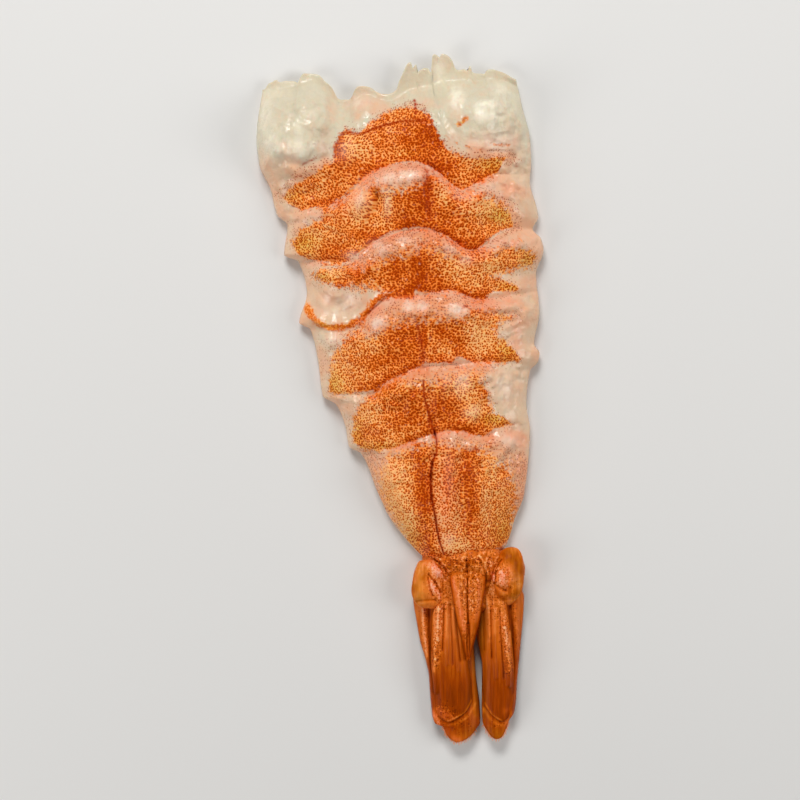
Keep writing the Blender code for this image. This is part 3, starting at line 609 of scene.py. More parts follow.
# Where only a thin orange wash of the skin is left, as how strong it is and the outline.
THIN_SKIN = [
    (0.42, [
        (-7.4, 29.4), (-5.0, 31.4), (-1.0, 33.2), (2.0, 33.7), (3.8, 32.8), (3.4, 31.0), (0.4, 30.0),
        (-4.0, 30.0)]),
    (0.6, [
        (-7.2, 19.4), (-4.0, 21.8), (0.4, 23.9), (4.6, 23.9), (7.6, 21.8), (4.0, 20.8), (-2.0, 19.4),
        (-6.0, 18.6)]),
    (0.7, [
        (-6.0, 10.2), (-3.6, 12.2), (0.4, 14.2), (4.6, 14.6), (9.2, 13.9), (9.0, 11.6), (2.0, 11.2),
        (-3.6, 9.2)]),
    (0.6, [
        (-4.4, 0.4), (-1.6, 2.8), (3.0, 4.4), (8.0, 5.0), (12.6, 4.6), (11.0, 2.6), (4.0, 1.6), (-2.0, 0.2)]),
    (0.5, [
        (2.6, -6.2), (8.0, -5.4), (12.8, -5.2), (16.2, -7.4), (16.8, -12.0), (15.0, -9.0), (12.0, -8.0),
        (2.6, -7.8)]),
    (0.55, [(15.4, -7.4), (17.6, -7.6), (18.4, -10.0), (18.2, -14.0), (17.2, -18.0), (15.6, -14.0)]),
    (0.4, [(-5.4, -7.2), (-4.9, -10.4), (-3.9, -13.6), (-0.4, -18.6), (-0.3, -14.0), (-0.9, -8.0)]),
    (0.3, [(-8.0, 39.2), (-5.4, 38.6), (-2.4, 41.4), (1.4, 43.0), (4.0, 42.0), (1.0, 41.4), (-4.4, 38.4)]),
    (0.36, [(12.0, 30.6), (16.6, 28.0), (17.4, 24.6), (14.4, 23.4), (13.6, 27.0)]),
    (0.34, [(7.4, 36.0), (9.4, 35.2), (15.8, 35.6), (17.4, 34.4), (15.8, 33.6), (8.0, 34.4)]),
    (0.34, [(-18.0, 29.6), (-14.6, 32.6), (-10.4, 34.4), (-10.0, 32.8), (-13.6, 31.0), (-16.9, 28.6)]),
]
THIN_SOFTNESS = 0.8
THIN_DOTS = 0.7
THINNEST = 0.1
# Where separate dark dots lie on flesh with little or no orange, as the outline and how soft it is.
STRAY_DOTS = [
    (0.9, [
        (-7.6, 39.6), (-5.8, 39.0), (-3.0, 41.4), (1.0, 43.2), (3.6, 42.4), (4.4, 41.2), (0.0, 41.0),
        (-5.0, 38.6)]),
    (1.2, [(-18.4, 29.6), (-14.6, 32.8), (-10.6, 34.6), (-10.0, 32.8), (-13.6, 31.0), (-16.9, 28.6)]),
    (1.0, [(7.4, 36.0), (11.0, 35.6), (15.8, 36.0), (17.2, 34.4), (15.8, 33.8), (9.0, 34.4)]),
    (1.2, [
        (-5.4, -7.4), (-4.8, -11.0), (-3.6, -14.6), (0.2, -19.4), (1.4, -18.0), (0.0, -13.0), (-0.4, -7.6)]),
    (1.2, [(-6.6, 0.2), (-8.2, -3.0), (-7.6, -6.4), (-5.0, -6.8), (-4.4, -0.6)]),
    (1.0, [(14.6, -8.4), (17.4, -10.4), (17.0, -17.6), (15.4, -20.2), (14.2, -14.0)]),
    (0.7, [(12.4, 29.6), (16.6, 27.8), (17.4, 25.4), (15.0, 24.4), (13.0, 26.0)]),
    (0.8, [(-16.6, 25.6), (-13.8, 26.4), (-11.0, 26.6), (-11.4, 24.6), (-15.6, 23.8)]),
    (0.7, [(-11.8, 9.2), (-9.2, 8.4), (-10.8, 3.6), (-11.4, 1.6), (-12.0, 4.6)]),
    (0.6, [(-6.6, 32.2), (-3.4, 33.0), (-4.8, 29.8), (-8.4, 28.6)]),
    (0.7, [(-7.6, 20.4), (-1.0, 23.0), (4.6, 23.6), (8.0, 21.6), (1.8, 20.8), (-5.8, 18.8)]),
    (0.6, [(-5.2, 11.0), (-1.4, 12.4), (3.0, 12.6), (9.0, 13.0), (6.0, 11.4), (-2.8, 9.6)]),
]
# Darker orange (above 0) and paler orange (below 0), as round spots.
DEPTHS = [
    (4.9, 37.4, 1.4, 3.6, 0.6), (7.0, 33.4, 2.4, 1.6, 0.5), (-6.6, 33.2, 2.2, 1.2, 0.3),
    (10.8, 32.4, 2.4, 1.0, 0.2), (-8.6, 35.6, 0.7, 2.2, 0.4), (-6.4, 36.0, 1.3, 1.6, -0.4),
    (-0.6, 37.0, 1.4, 2.0, -0.3), (-1.4, 39.2, 2.2, 0.8, -0.1), (-12.2, 30.6, 2.0, 1.4, 0.25),
    (3.1, 37.0, 0.6, 3.0, 0.2), (0.2, 35.2, 2.4, 0.9, -0.25), (-10.6, 28.2, 2.4, 0.7, 0.35),
    (3.6, 28.6, 1.0, 3.6, 0.55), (-3.4, 29.2, 0.8, 1.6, 0.3), (-6.0, 28.6, 1.2, 2.0, -0.7),
    (-1.6, 27.8, 0.5, 1.8, -0.55), (-4.6, 23.4, 2.6, 0.9, 0.5), (-9.0, 21.6, 2.6, 1.2, 0.35),
    (7.6, 25.4, 2.6, 2.4, 0.3), (9.8, 22.6, 1.8, 0.9, 0.55), (6.2, 30.6, 0.7, 1.8, -0.5),
    (11.6, 27.6, 1.8, 1.2, -0.55), (9.2, 28.0, 1.4, 1.4, -0.2), (-11.2, 23.4, 2.0, 1.6, -0.15),
    (12.0, 25.6, 1.6, 0.9, 0.1), (1.0, 25.2, 2.4, 0.7, 0.25), (-0.6, 26.2, 1.2, 1.2, 0.15),
    (2.6, 18.6, 1.0, 2.6, 0.6), (-1.0, 18.0, 2.2, 2.0, 0.35), (-5.6, 17.6, 2.0, 1.2, 0.35),
    (5.2, 16.6, 2.0, 1.4, 0.35), (8.8, 19.0, 1.8, 1.6, -0.3), (-9.6, 18.0, 1.8, 0.6, -0.4),
    (10.6, 15.0, 1.8, 0.8, 0.35), (-8.4, 16.4, 2.2, 0.4, 0.5), (12.4, 19.4, 2.0, 1.2, -0.3),
    (1.4, 16.2, 2.2, 0.9, 0.35), (4.6, 21.2, 0.6, 1.4, 0.2), (1.0, 8.4, 2.4, 2.4, 0.5),
    (6.6, 9.6, 2.4, 1.8, 0.45), (-2.4, 5.4, 2.6, 1.8, 0.3), (8.4, 7.4, 1.2, 1.4, 0.3),
    (-4.6, 7.8, 1.8, 2.0, -0.25), (11.4, 9.2, 1.8, 2.4, -0.45), (-8.6, 3.4, 1.4, 2.0, -0.35),
    (-3.6, 2.2, 1.6, 0.7, 0.45), (-6.4, 5.0, 1.4, 1.2, 0.15), (3.4, 8.4, 0.4, 2.6, 0.3),
    (9.4, 13.4, 1.8, 0.6, 0.5), (-1.2, 10.0, 1.6, 0.6, 0.2), (1.2, -2.4, 2.2, 2.4, 0.45),
    (6.4, -1.6, 2.0, 2.0, 0.45), (-3.2, -4.4, 2.4, 1.6, 0.15), (10.6, -1.4, 1.2, 1.2, -0.6),
    (9.2, 1.8, 1.6, 1.6, -0.5), (-1.6, 0.2, 1.4, 0.6, -0.35), (-4.4, -2.0, 1.6, 1.6, -0.3),
    (9.8, -4.3, 1.4, 0.5, 0.45), (4.2, -2.8, 0.6, 2.0, 0.3), (3.0, 1.8, 0.8, 0.8, 0.2),
    (12.6, 2.0, 0.6, 2.0, 0.2), (11.9, -3.4, 1.4, 0.6, 0.2), (2.9, -9.6, 1.2, 3.0, 0.6),
    (3.3, -15.0, 1.1, 3.8, 0.6), (-0.6, -12.0, 1.8, 4.6, -0.55), (0.8, -17.4, 1.2, 2.4, -0.5),
    (5.9, -8.0, 0.7, 1.8, -0.3), (9.8, -10.4, 1.0, 3.0, 0.6), (10.2, -15.8, 1.2, 2.8, 0.45),
    (6.4, -17.0, 1.4, 3.6, -0.45), (12.8, -10.0, 1.2, 2.4, -0.35), (12.6, -14.2, 1.4, 3.0, -0.4),
    (10.5, -7.0, 0.8, 0.5, 0.7), (13.2, -19.4, 2.0, 1.6, 0.3), (6.6, -20.8, 1.2, 1.0, -0.35),
    (0.4, 37.4, 3.6, 3.4, 0.55), (1.8, 28.0, 2.4, 3.0, 0.5), (-12.0, 30.2, 2.6, 1.4, -0.25),
    (11.4, 33.0, 3.0, 1.2, -0.3), (2.0, 18.4, 3.4, 2.0, 0.3), (2.0, 7.4, 4.0, 3.0, 0.1),
    (-1.4, 0.6, 3.0, 1.2, 0.4), (6.6, -13.4, 0.9, 5.0, 0.25), (12.4, -13.0, 1.6, 3.4, 0.25),
    (7.0, -1.0, 2.4, 2.4, 0.2), (8.0, -21.0, 2.6, 1.4, -0.45), (-3.0, -10.0, 1.4, 3.0, -0.5),
    (2.4, 4.0, 3.0, 0.8, 0.1), (8.6, -22.4, 2.6, 0.8, 0.5), (4.4, -20.4, 1.0, 2.0, 0.35),
    (10.4, -21.0, 0.8, 1.4, -0.2), (14.8, -16.0, 0.8, 3.6, -0.1),
]
# Olive tint of the thin corners, as round spots.
OLIVE_SPOTS = [
    (8.8, 39.6, 1.0, 1.0, 0.8), (-15.2, 29.2, 1.8, 0.8, 0.4), (13.2, 33.4, 2.0, 1.2, 0.6),
    (-13.8, 22.4, 2.0, 1.6, 0.7), (14.2, 26.4, 1.8, 1.4, 0.7), (-3.3, 29.4, 0.5, 1.0, 0.7),
    (18.4, 20.4, 2.2, 1.6, 0.55), (-11.4, 17.6, 1.6, 0.6, 0.5), (15.6, 16.2, 1.8, 0.6, 0.6),
    (15.6, 7.0, 1.8, 1.4, 0.7), (-9.4, 2.2, 1.4, 1.8, 0.6), (13.4, -2.8, 2.0, 0.9, 0.8),
    (-6.2, -5.0, 1.4, 2.2, 0.5), (-3.0, -6.6, 2.0, 0.7, 0.5), (14.8, -19.0, 1.8, 2.4, 0.6),
    (-10.6, 10.8, 1.6, 0.6, 0.4), (18.6, 13.2, 1.4, 1.4, 0.5), (0.6, 35.4, 2.6, 0.7, 0.3),
    (2.0, -20.0, 1.4, 1.6, 0.4), (1.2, 24.9, 3.0, 0.5, 0.25), (-16.4, 20.4, 1.0, 1.0, 0.3),
    (-8.6, 10.6, 3.0, 0.8, 0.4), (-4.6, 12.6, 1.0, 1.4, 0.3), (17.4, -14.0, 0.8, 5.0, 0.3),
    (-2.6, -14.0, 1.0, 3.4, 0.1), (0.2, -19.0, 1.0, 2.0, 0.15), (16.4, 33.6, 1.6, 1.2, 0.4),
    (17.0, 26.2, 1.2, 1.6, 0.4),
]
# Pink of the flesh where the skin is thin, as round spots; the fronts of the segments add to it.
PINK_SPOTS = [
    (-8.4, 39.9, 2.0, 1.2, 0.5), (13.4, 36.4, 4.0, 1.6, 0.45), (-5.0, 42.0, 3.6, 1.6, 0.25),
    (9.2, 37.8, 1.4, 1.0, 0.4), (-11.8, 35.6, 1.6, 1.4, 0.5), (8.0, 36.8, 1.8, 1.2, 0.7),
    (15.4, 29.8, 2.6, 1.6, 0.5), (-12.2, 26.4, 2.0, 0.8, 0.7), (15.6, 22.6, 3.4, 1.2, 0.7),
    (-12.8, 19.4, 1.8, 0.8, 0.7), (-7.6, 13.6, 2.8, 1.6, 0.8), (15.6, 14.2, 2.0, 1.0, 0.7),
    (18.6, 17.4, 1.6, 1.0, 0.5), (17.0, 9.0, 1.4, 2.4, 0.7), (-8.8, 8.6, 1.4, 0.8, 0.5),
    (15.6, -5.6, 2.0, 1.4, 0.8), (17.6, -11.0, 1.0, 5.0, 0.5), (-2.4, -10.6, 1.6, 3.0, 0.35),
    (6.4, -13.6, 1.3, 6.6, 1.1), (-1.6, 35.8, 3.0, 1.4, 0.2), (16.4, 38.4, 1.4, 4.0, 0.3),
    (-5.0, -8.6, 1.4, 1.6, 0.4), (-5.4, 40.6, 3.0, 1.0, 0.4), (-3.4, 1.4, 3.0, 1.8, -0.8),
    (13.0, -5.4, 2.0, 0.8, 0.4), (6.6, -5.4, 3.4, 0.5, 0.4), (8.0, 5.5, 5.0, 0.7, 0.8),
    (4.5, 3.9, 4.0, 1.0, -0.3),
]
# The whitest flesh, as round spots; all of the head end adds to it.
WHITE_SPOTS = [
    (-9.0, 13.2, 2.6, 1.4, 0.35), (15.0, 1.4, 2.0, 3.0, 0.4), (16.6, 9.6, 1.6, 1.4, 0.3),
    (15.4, 13.4, 1.8, 0.8, 0.2), (-10.6, 9.0, 1.4, 1.2, 0.4), (15.8, -6.0, 1.2, 0.8, 0.2),
    (-13.6, 30.0, 2.4, 1.2, 0.1), (-4.6, 42.2, 4.0, 2.4, -0.65), (2.8, 43.0, 2.6, 2.4, -0.45),
    (13.4, 36.6, 4.6, 2.2, -0.75), (7.4, 39.0, 1.4, 2.6, -0.5), (-10.2, 39.0, 1.2, 4.0, -0.45),
]
# Painted highlights on the wet ridges and lobes, with some pale places where the ridges are thinly skinned,
# as round spots.
HIGHLIGHT_AND_PALE_SPOTS = [
    (-3.2, 10.9, 0.9, 0.8, 1.3), (1.2, 13.4, 0.8, 0.7, 1.4), (3.2, 13.4, 0.8, 0.6, 1.3),
    (7.9, 12.9, 1.0, 0.8, 1.4), (-1.2, 31.7, 2.2, 0.8, 0.85), (1.6, 32.1, 1.3, 0.8, 0.95),
    (-5.7, 28.6, 0.9, 1.6, 0.55), (-1.8, 27.8, 0.5, 1.4, 0.35), (-3.4, 22.2, 1.2, 0.6, 0.5),
    (0.8, 22.8, 1.2, 0.5, 0.6), (-2.6, 21.2, 1.0, 0.5, 0.5), (-6.8, 20.6, 1.0, 0.6, 0.6),
    (6.8, 21.6, 0.6, 0.6, 0.45), (9.2, 20.0, 0.9, 0.6, 0.4), (6.6, 2.8, 0.7, 1.2, 0.3),
    (8.8, 2.8, 1.0, 1.5, 0.7), (10.2, -1.6, 1.0, 0.8, 0.4), (-7.2, 14.4, 0.8, 1.0, 0.6),
    (-9.6, 12.6, 1.6, 0.5, 0.4), (-10.6, 14.4, 0.7, 0.8, 0.4), (15.0, 2.0, 1.2, 1.6, 0.3),
    (8.8, 29.0, 1.2, 0.4, 0.4), (12.6, 30.2, 1.0, 0.5, 0.4), (-14.8, 35.7, 2.4, 1.2, 0.6),
    (-18.2, 36.8, 1.2, 1.6, 0.35), (-8.0, 35.6, 1.2, 1.4, 0.2), (13.5, 37.0, 3.4, 1.1, 0.4),
    (8.1, 43.3, 0.9, 1.5, 1.0), (12.4, 42.1, 1.4, 0.7, 0.8), (11.2, 41.0, 0.6, 1.1, 0.8),
    (12.8, 40.4, 1.3, 0.6, 0.7), (-12.8, 40.6, 0.9, 0.6, 0.35), (-14.4, 38.6, 0.7, 0.9, 0.3),
    (-19.4, 41.6, 0.8, 3.0, 0.35), (-17.4, 44.2, 1.6, 1.0, 0.15), (-6.0, 42.8, 1.4, 0.8, 0.35),
    (5.6, 47.6, 0.8, 1.6, 0.4), (14.6, 44.8, 1.4, 1.0, 0.3), (7.0, -10.0, 0.7, 3.0, 0.12),
    (7.0, -20.0, 0.8, 0.8, 0.3), (-9.6, 8.8, 0.9, 0.8, 0.5), (15.6, -5.6, 1.2, 0.6, 0.35),
]
# The swollen front of each segment: how far back its pink reaches, how much softer the skin's edge is there,
# and how clear of dots it is. The pink fades from a share of its reach on, and between these sides.
BLUSH_REACH = [0.1, 4.0, 3.8, 3.9, 2.4, 1.3]
FRONT_SOFTNESS = [0.0, 1.2, 1.2, 1.3, 0.8, 0.1]
FRONT_CLEARNESS = [0.0, 0.25, 0.0, 0.1, 0.55, 0.6]
BLUSH_PINK = 0.9
BLUSH_FADES = 0.25
BLUSH_SIDES = (0.5, 0.72)
# The softer edge of the skin fades out at this many times the reach of the pink.
SOFT_REACH = 1.8
# The head end turns white between these y, along a wavering line.
HEAD_WHITENS = (32.5, 37.0)
HEAD_WHITE_WAVERS = 2.0
HEAD_WHITE_WAVE = 3.0
# Red lines in the deep creases, and orange ones on folds of bare flesh, as (strength, half width, line).
RED_LINES = [
    (1.0, 0.13, BACK_CREASE), (0.7, 0.13, FOURTH_CREASE), (1.0, 0.15, FIFTH_CREASE),
    (0.55, 0.22, SECOND_CREASE), (0.9, 0.18, [(x, y - 0.2) for x, y in FIRST_FOLD]),
    (0.7, 0.13, [(-13.9, 33.6), (-13.2, 33.9), (-12.1, 34.4)]), (0.35, 0.16, STRIP_FOLD),
    (0.35, 0.16, [(x, y - 0.5) for x, y in POCKET_RIM[2:10]]),
    (0.8, 0.17, [(-9.4, 34.8), (-9.3, 35.8), (-9.0, 36.8), (-8.5, 37.8), (-7.7, 38.4), (-6.2, 38.1)]),
]
ORANGE_LINES = [
    (0.95, 0.6, POCKET_RIM), (0.7, 0.9, [(-13.6, 13.8), (-13.0, 13.0)]),
    (0.8, 0.55, [(8.3, 39.1), (9.3, 40.1)]), (0.5, 0.3, [(6.4, 37.6), (8.4, 36.4), (11.4, 35.6)]),
    (0.55, 0.3, [(12.6, 36.4), (15.6, 36.4)]), (0.6, 0.16, [(16.8, 23.6), (17.8, 22.0)]),
]
# Small dark marks, as round spots.
DARK_MARKS = [
    (2.05, 43.1, 0.2, 0.2, 1.4), (2.2, 42.5, 0.2, 0.24, 1.4), (2.2, 41.9, 0.2, 0.2, 1.3),
    (2.25, 41.2, 0.22, 0.22, 1.2), (3.5, 41.6, 0.2, 0.3, 0.8), (16.7, 33.6, 0.3, 0.2, 0.6),
    (8.5, 39.3, 0.2, 0.2, 0.9), (9.1, 39.9, 0.2, 0.2, 0.9), (9.3, 40.3, 0.16, 0.16, 0.7),
    (13.0, 36.6, 0.2, 0.1, 0.5), (14.6, 36.2, 0.24, 0.1, 0.5), (-16.6, 29.4, 0.3, 0.2, 0.5),
]
# How close the dots are on bare flesh and on the outline of the skin, where they thin out more softly than
# the orange does.
STRAY_SHARE = 0.42
DOTS_ON_OUTLINE = 0.6
DOTS_SOFTER = 1.2
# The rear of a segment, as shares of its length: crisper there, and darker between these sides, partly
# deeper orange and partly painted shade where the segment falls away into its groove.
REAR_CRISPS = (0.6, 0.9)
REAR_CRISPNESS = 0.7
REAR_DARKENS = (0.8, 1.0)
REAR_SIDES = (0.6, 0.9)
REAR_SHADE_AND_DEPTH = 0.25
MIDDLE_DEPTH = 0.445
FOLDED_DEPTH = 0.22
DEPTH_SCALE = 0.75
# A painted shadow: a thin dark line just behind each groove, where a segment comes out from under the lip
# ahead.
GROOVE_SHADOW = 0.16
GROOVE_SHADOW_HALF_WIDTH = 0.16
UNDER_PINK = 0.35
# The least that the back is taken to reach from its midline to an edge.
NARROWEST = 0.1
# The two sheets share the rim; a corner of the upper one lies above it.
BACK_HEIGHTS = (RIM_HEIGHT - 0.08, RIM_HEIGHT + 0.1)


def strongest_line(x, y, lines):
    """The strongest of soft lines at each point, as (strength, half width, line)."""
    return np.max([strength * bell(off_line(x, y, line), half) for strength, half, line in lines], axis=0)


def paint_flesh():
    """Works out, for each corner, how much of each colour the flesh shows there."""
    # Among these colours are painted highlights, and painted shade along the grooves and the rears of
    # segments.
    x, y, z = points_of(flesh)
    back = ease(*BACK_HEIGHTS, z)
    off_middle = x - through(MIDLINE, y)
    side = np.clip(off_middle / np.maximum(reach_to_edge(off_middle < 0, y), NARROWEST), -1, 1)
    curves = np.array([np.full(len(x), HEAD_BASE)] + rear_edges(side))
    first = y > curves[1]

    # Where each corner lies in its segment.
    behind = np.full(len(x), np.inf)
    share, blush, softness_ahead, clear = np.zeros((4, len(x)))
    for ahead, groove, blush_reach, softness, clearness in zip(
            curves[:-1], curves[1:], BLUSH_REACH, FRONT_SOFTNESS, FRONT_CLEARNESS):
        here = (y <= ahead) & (y > groove)
        behind[here] = (ahead - y)[here]
        share[here] = ((ahead - y) / (ahead - groove))[here]
        blush[here] = 1 - ease(BLUSH_FADES * blush_reach, blush_reach, behind[here])
        softness_ahead[here] = softness * (1 - ease(blush_reach, SOFT_REACH * blush_reach, behind[here]))
        clear[here] = clearness
    inner = (1 - ease(*BLUSH_SIDES, np.abs(side))) * ~first
    ridge = blush * inner
    # The rear of each segment is darker, partly as painted shade.
    rear_shade_and_depth = REAR_SHADE_AND_DEPTH * ease(*REAR_DARKENS, share) * (1 - ease(*REAR_SIDES, np.abs(side)))

    # The skin that is left, its dots, the folds and creases in it, and painted shadow along the grooves.
    orange, dots, thin = np.zeros((3, len(x)))
    softer = (1 - REAR_CRISPNESS * ease(*REAR_CRISPS, share)) * (1 + softness_ahead * inner)
    for softness, outline in PIGMENT:
        depth = within(x, y, outline) / (2 * softness * softer)
        orange = np.maximum(orange, 0.5 + depth)
        dots = np.maximum(dots, DOTS_ON_OUTLINE + depth / DOTS_SOFTER)
    for softness, outline in STRAY_DOTS:
        dots = np.maximum(dots, STRAY_SHARE * ease(-softness, softness, within(x, y, outline)))
    for strength, outline in THIN_SKIN:
        thin = np.maximum(thin, strength * ease(-THIN_SOFTNESS, THIN_SOFTNESS, within(x, y, outline)))
    dots = np.maximum(dots, THIN_DOTS * (thin > THINNEST)) * (1 - clear * ridge)
    folded = strongest_line(x, y, ORANGE_LINES)
    # Painted shadow along each groove.
    groove_shadow = GROOVE_SHADOW * bell(behind, GROOVE_SHADOW_HALF_WIDTH) * (1 - side * side) * ~first
    red_and_shadow = np.maximum(strongest_line(x, y, RED_LINES), groove_shadow)
    whitening = y + HEAD_WHITE_WAVERS * uneven(x, y, HEAD_WHITE_WAVE, 8)
    depth = add_spots(x, y, DEPTHS) + rear_shade_and_depth + FOLDED_DEPTH * folded
    pink = add_spots(x, y, PINK_SPOTS) + BLUSH_PINK * ridge

    paint(flesh, "orange_skin", np.maximum(orange, folded) * back)
    paint(flesh, "thin_orange", thin * back)
    paint(flesh, "dark_dots", dots * back)
    # Darker and paler orange; at the rears of the segments partly painted shade.
    paint(flesh, "deep_orange_and_shade", MIDDLE_DEPTH + DEPTH_SCALE * depth)
    paint(flesh, "olive_tint", add_spots(x, y, OLIVE_SPOTS))
    paint(flesh, "pink_flesh", np.where(back > 0.5, pink, UNDER_PINK))
    paint(flesh, "white_flesh", add_spots(x, y, WHITE_SPOTS) * back + ease(*HEAD_WHITENS, whitening))
    # Painted highlights, and some pale thin-skinned places.
    paint(flesh, "highlight_and_pale_spot", add_spots(x, y, HIGHLIGHT_AND_PALE_SPOTS) * back)
    # Red creases, small dark marks, and the painted shadow along the grooves.
    paint(flesh, "red_crease_and_shadow", (red_and_shadow + add_spots(x, y, DARK_MARKS)) * back)


paint_flesh()

# What the flesh is coloured with.
WHITE_FLESH = (0.725, 0.65, 0.485)
# Painted highlights: pink ones, also used for pale thin-skinned places, and white ones on white flesh.
PINK_HIGHLIGHT_AND_PALE = (1.0, 0.72, 0.56)
WHITE_HIGHLIGHT = (1.0, 0.92, 0.74)
CREAM_FLESH = (0.84, 0.54, 0.35)
PINK_FLESH = (0.90, 0.38, 0.22)
# The orange of the skin from its thinnest places and painted glints to its dots, as (darkness, colour).
SKIN_TONES = [
    (0.0, (1.0, 0.53, 0.20)), (0.2, (1.0, 0.41, 0.115)), (0.4, (0.96, 0.28, 0.046)),
    (0.6, (0.79, 0.16, 0.012)), (0.8, (0.61, 0.092, 0.002)), (1.0, (0.40, 0.040, 0.0001)),
]
OLIVE_SHADE = (0.80, 1.0, 0.45)
ROSY_SHADE = (1.0, 0.82, 1.0)
DOT_DARKNESS = 0.74
# How much the light cells lighten the orange: partly paler skin cells, partly painted glints of the wet skin.
LIGHT_CELL_AND_GLINT_PALENESS = 0.38
CLOUDED_SHADE = (1.0, 0.86, 0.68)
THIN_ORANGE = (0.90, 0.29, 0.09)
DOT_RED = (0.40, 0.05, 0.001)
STRAY_DARKNESS = 0.85
# The red of the creases, also the colour of the painted shadow along the grooves.
CREASE_RED_AND_SHADOW = (0.42, 0.030, 0.001)
# The dots: their spacing, their radius and how much it varies as shares of that, how much of it is full
# dark, how uneven their rows are, how far and over what length they are bent, and how many run together where
# they are crowded. Chains of them and the light gaps between them have soft edges; the light gaps are partly
# paler skin cells and partly painted glints of the wet skin.
DOT_SPACING = 0.34
DOT_RADIUS = 0.26
DOT_RADIUS_VARIES = 0.2
DOT_CORE = 0.6
DOT_UNEVENNESS = 0.9
DOT_BEND = 0.1
DOT_BEND_SIZE = 0.45
DOTS_CHAINED = 0.2
CROWDED_FROM = 0.45
CHAIN_EDGE = (0.46, 0.36)
GAP_EDGE = (0.36, 0.6)
# The moisture: how wide its smears and drops are, and the grain of the skin under it.
SMEAR_SIZE = 2.2
DROP_SIZE = 1.3
SKIN_GRAIN_SIZE = 0.35
# The flesh: how wide its clouds, patches and shades are, its muscle strands with their length, slant and
# relief, and the torn edge of the skin with how far it wanders.
CLOUD_SIZE = 1.6
CLOUDED_BY = 0.18
PATCH_SIZE = 3.4
SHADE_SIZE = 2.6
SHADED_BY = 0.12
STRAND_SIZE = 0.8
STRAND_STRETCH = (1.0, 0.3, 1.0)
STRAND_SLANT = (0.0, 0.0, 0.5)
STRAND_RISE = 1.6
RAGGED_SIZE = 0.8
RAGGED_BY = 0.32
RAGGED_SHADE = 0.09
FRAYED_SIZE = 0.5
FRAYED_BY = 0.15
SKIN_EDGE = (0.32, 0.8)
# How much of the painted highlights shows over the orange skin.
HIGHLIGHT_OVER_SKIN = 0.85
# The flesh slopes down as a flank beyond these x and below this height.
FLANKS = (-5.0, 13.0)
FLANK_TOP = 5.2


def feed(tree, socket, value):
    """Links a socket to an input, or sets the input to a value."""
    if isinstance(value, bpy.types.NodeSocket):
        tree.links.new(value, socket)
    else:
        socket.default_value = value


def add(tree, kind, values=None, **settings):
    """Adds a shader node with those settings, and feeds its inputs by name or number."""
    node = tree.nodes.new("ShaderNode" + kind)
    for name, setting in settings.items():
        setattr(node, name, setting)
    for name, value in (values or {}).items():
        feed(tree, node.inputs[name], value)
    return node


def calculate(tree, operation, first, second, third=0.0):
    """The result of a Math node on two or three values."""
    return add(tree, "Math", {0: first, 1: second, 2: third}, operation=operation).outputs[0]


def between(tree, low, high, value, to_low=0.0, to_high=1.0):
    """The value spread from low..high to to_low..to_high, on an S curve."""
    values = {"Value": value, "From Min": low, "From Max": high, "To Min": to_low, "To Max": to_high}
    return add(tree, "MapRange", values, interpolation_type="SMOOTHSTEP").outputs["Result"]


def vary(tree, operation, amount, texture, low, high, least, most):
    """An amount plus or times least to most, as the texture goes from low to high."""
    return calculate(tree, operation, amount, between(tree, low, high, texture, least, most))


def blend(tree, share, first, second, kind="MIX"):
    """A mix of two colours."""
    first, second = ((*colour, 1) if isinstance(colour, tuple) else colour for colour in (first, second))
    values = {0: share, 6: first, 7: second}
    return add(tree, "Mix", values, data_type="RGBA", blend_type=kind, clamp_factor=True).outputs[2]


def grain(tree, where, size, detail=2.0, roughness=0.5):
    """Noise whose bumps are that many millimetres apart, from 0 to 1."""
    values = {"Vector": where, "Scale": 1 / (size * MM), "Detail": detail, "Roughness": roughness}
    return add(tree, "TexNoise", values).outputs[0]


def toned(tree, darkness, tones):
    """The colour for that darkness, from a list of (darkness, colour)."""
    node = add(tree, "ValToRGB", {"Fac": darkness})
    while len(node.color_ramp.elements) < len(tones):
        node.color_ramp.elements.new(1.0)
    for element, (at, colour) in zip(node.color_ramp.elements, tones):
        element.position = at
        element.color = (*colour, 1)
    return node.outputs[0]


def painted(tree, name):
    """What paint kept under that name."""
    return add(tree, "Attribute", attribute_name=name).outputs["Fac"]


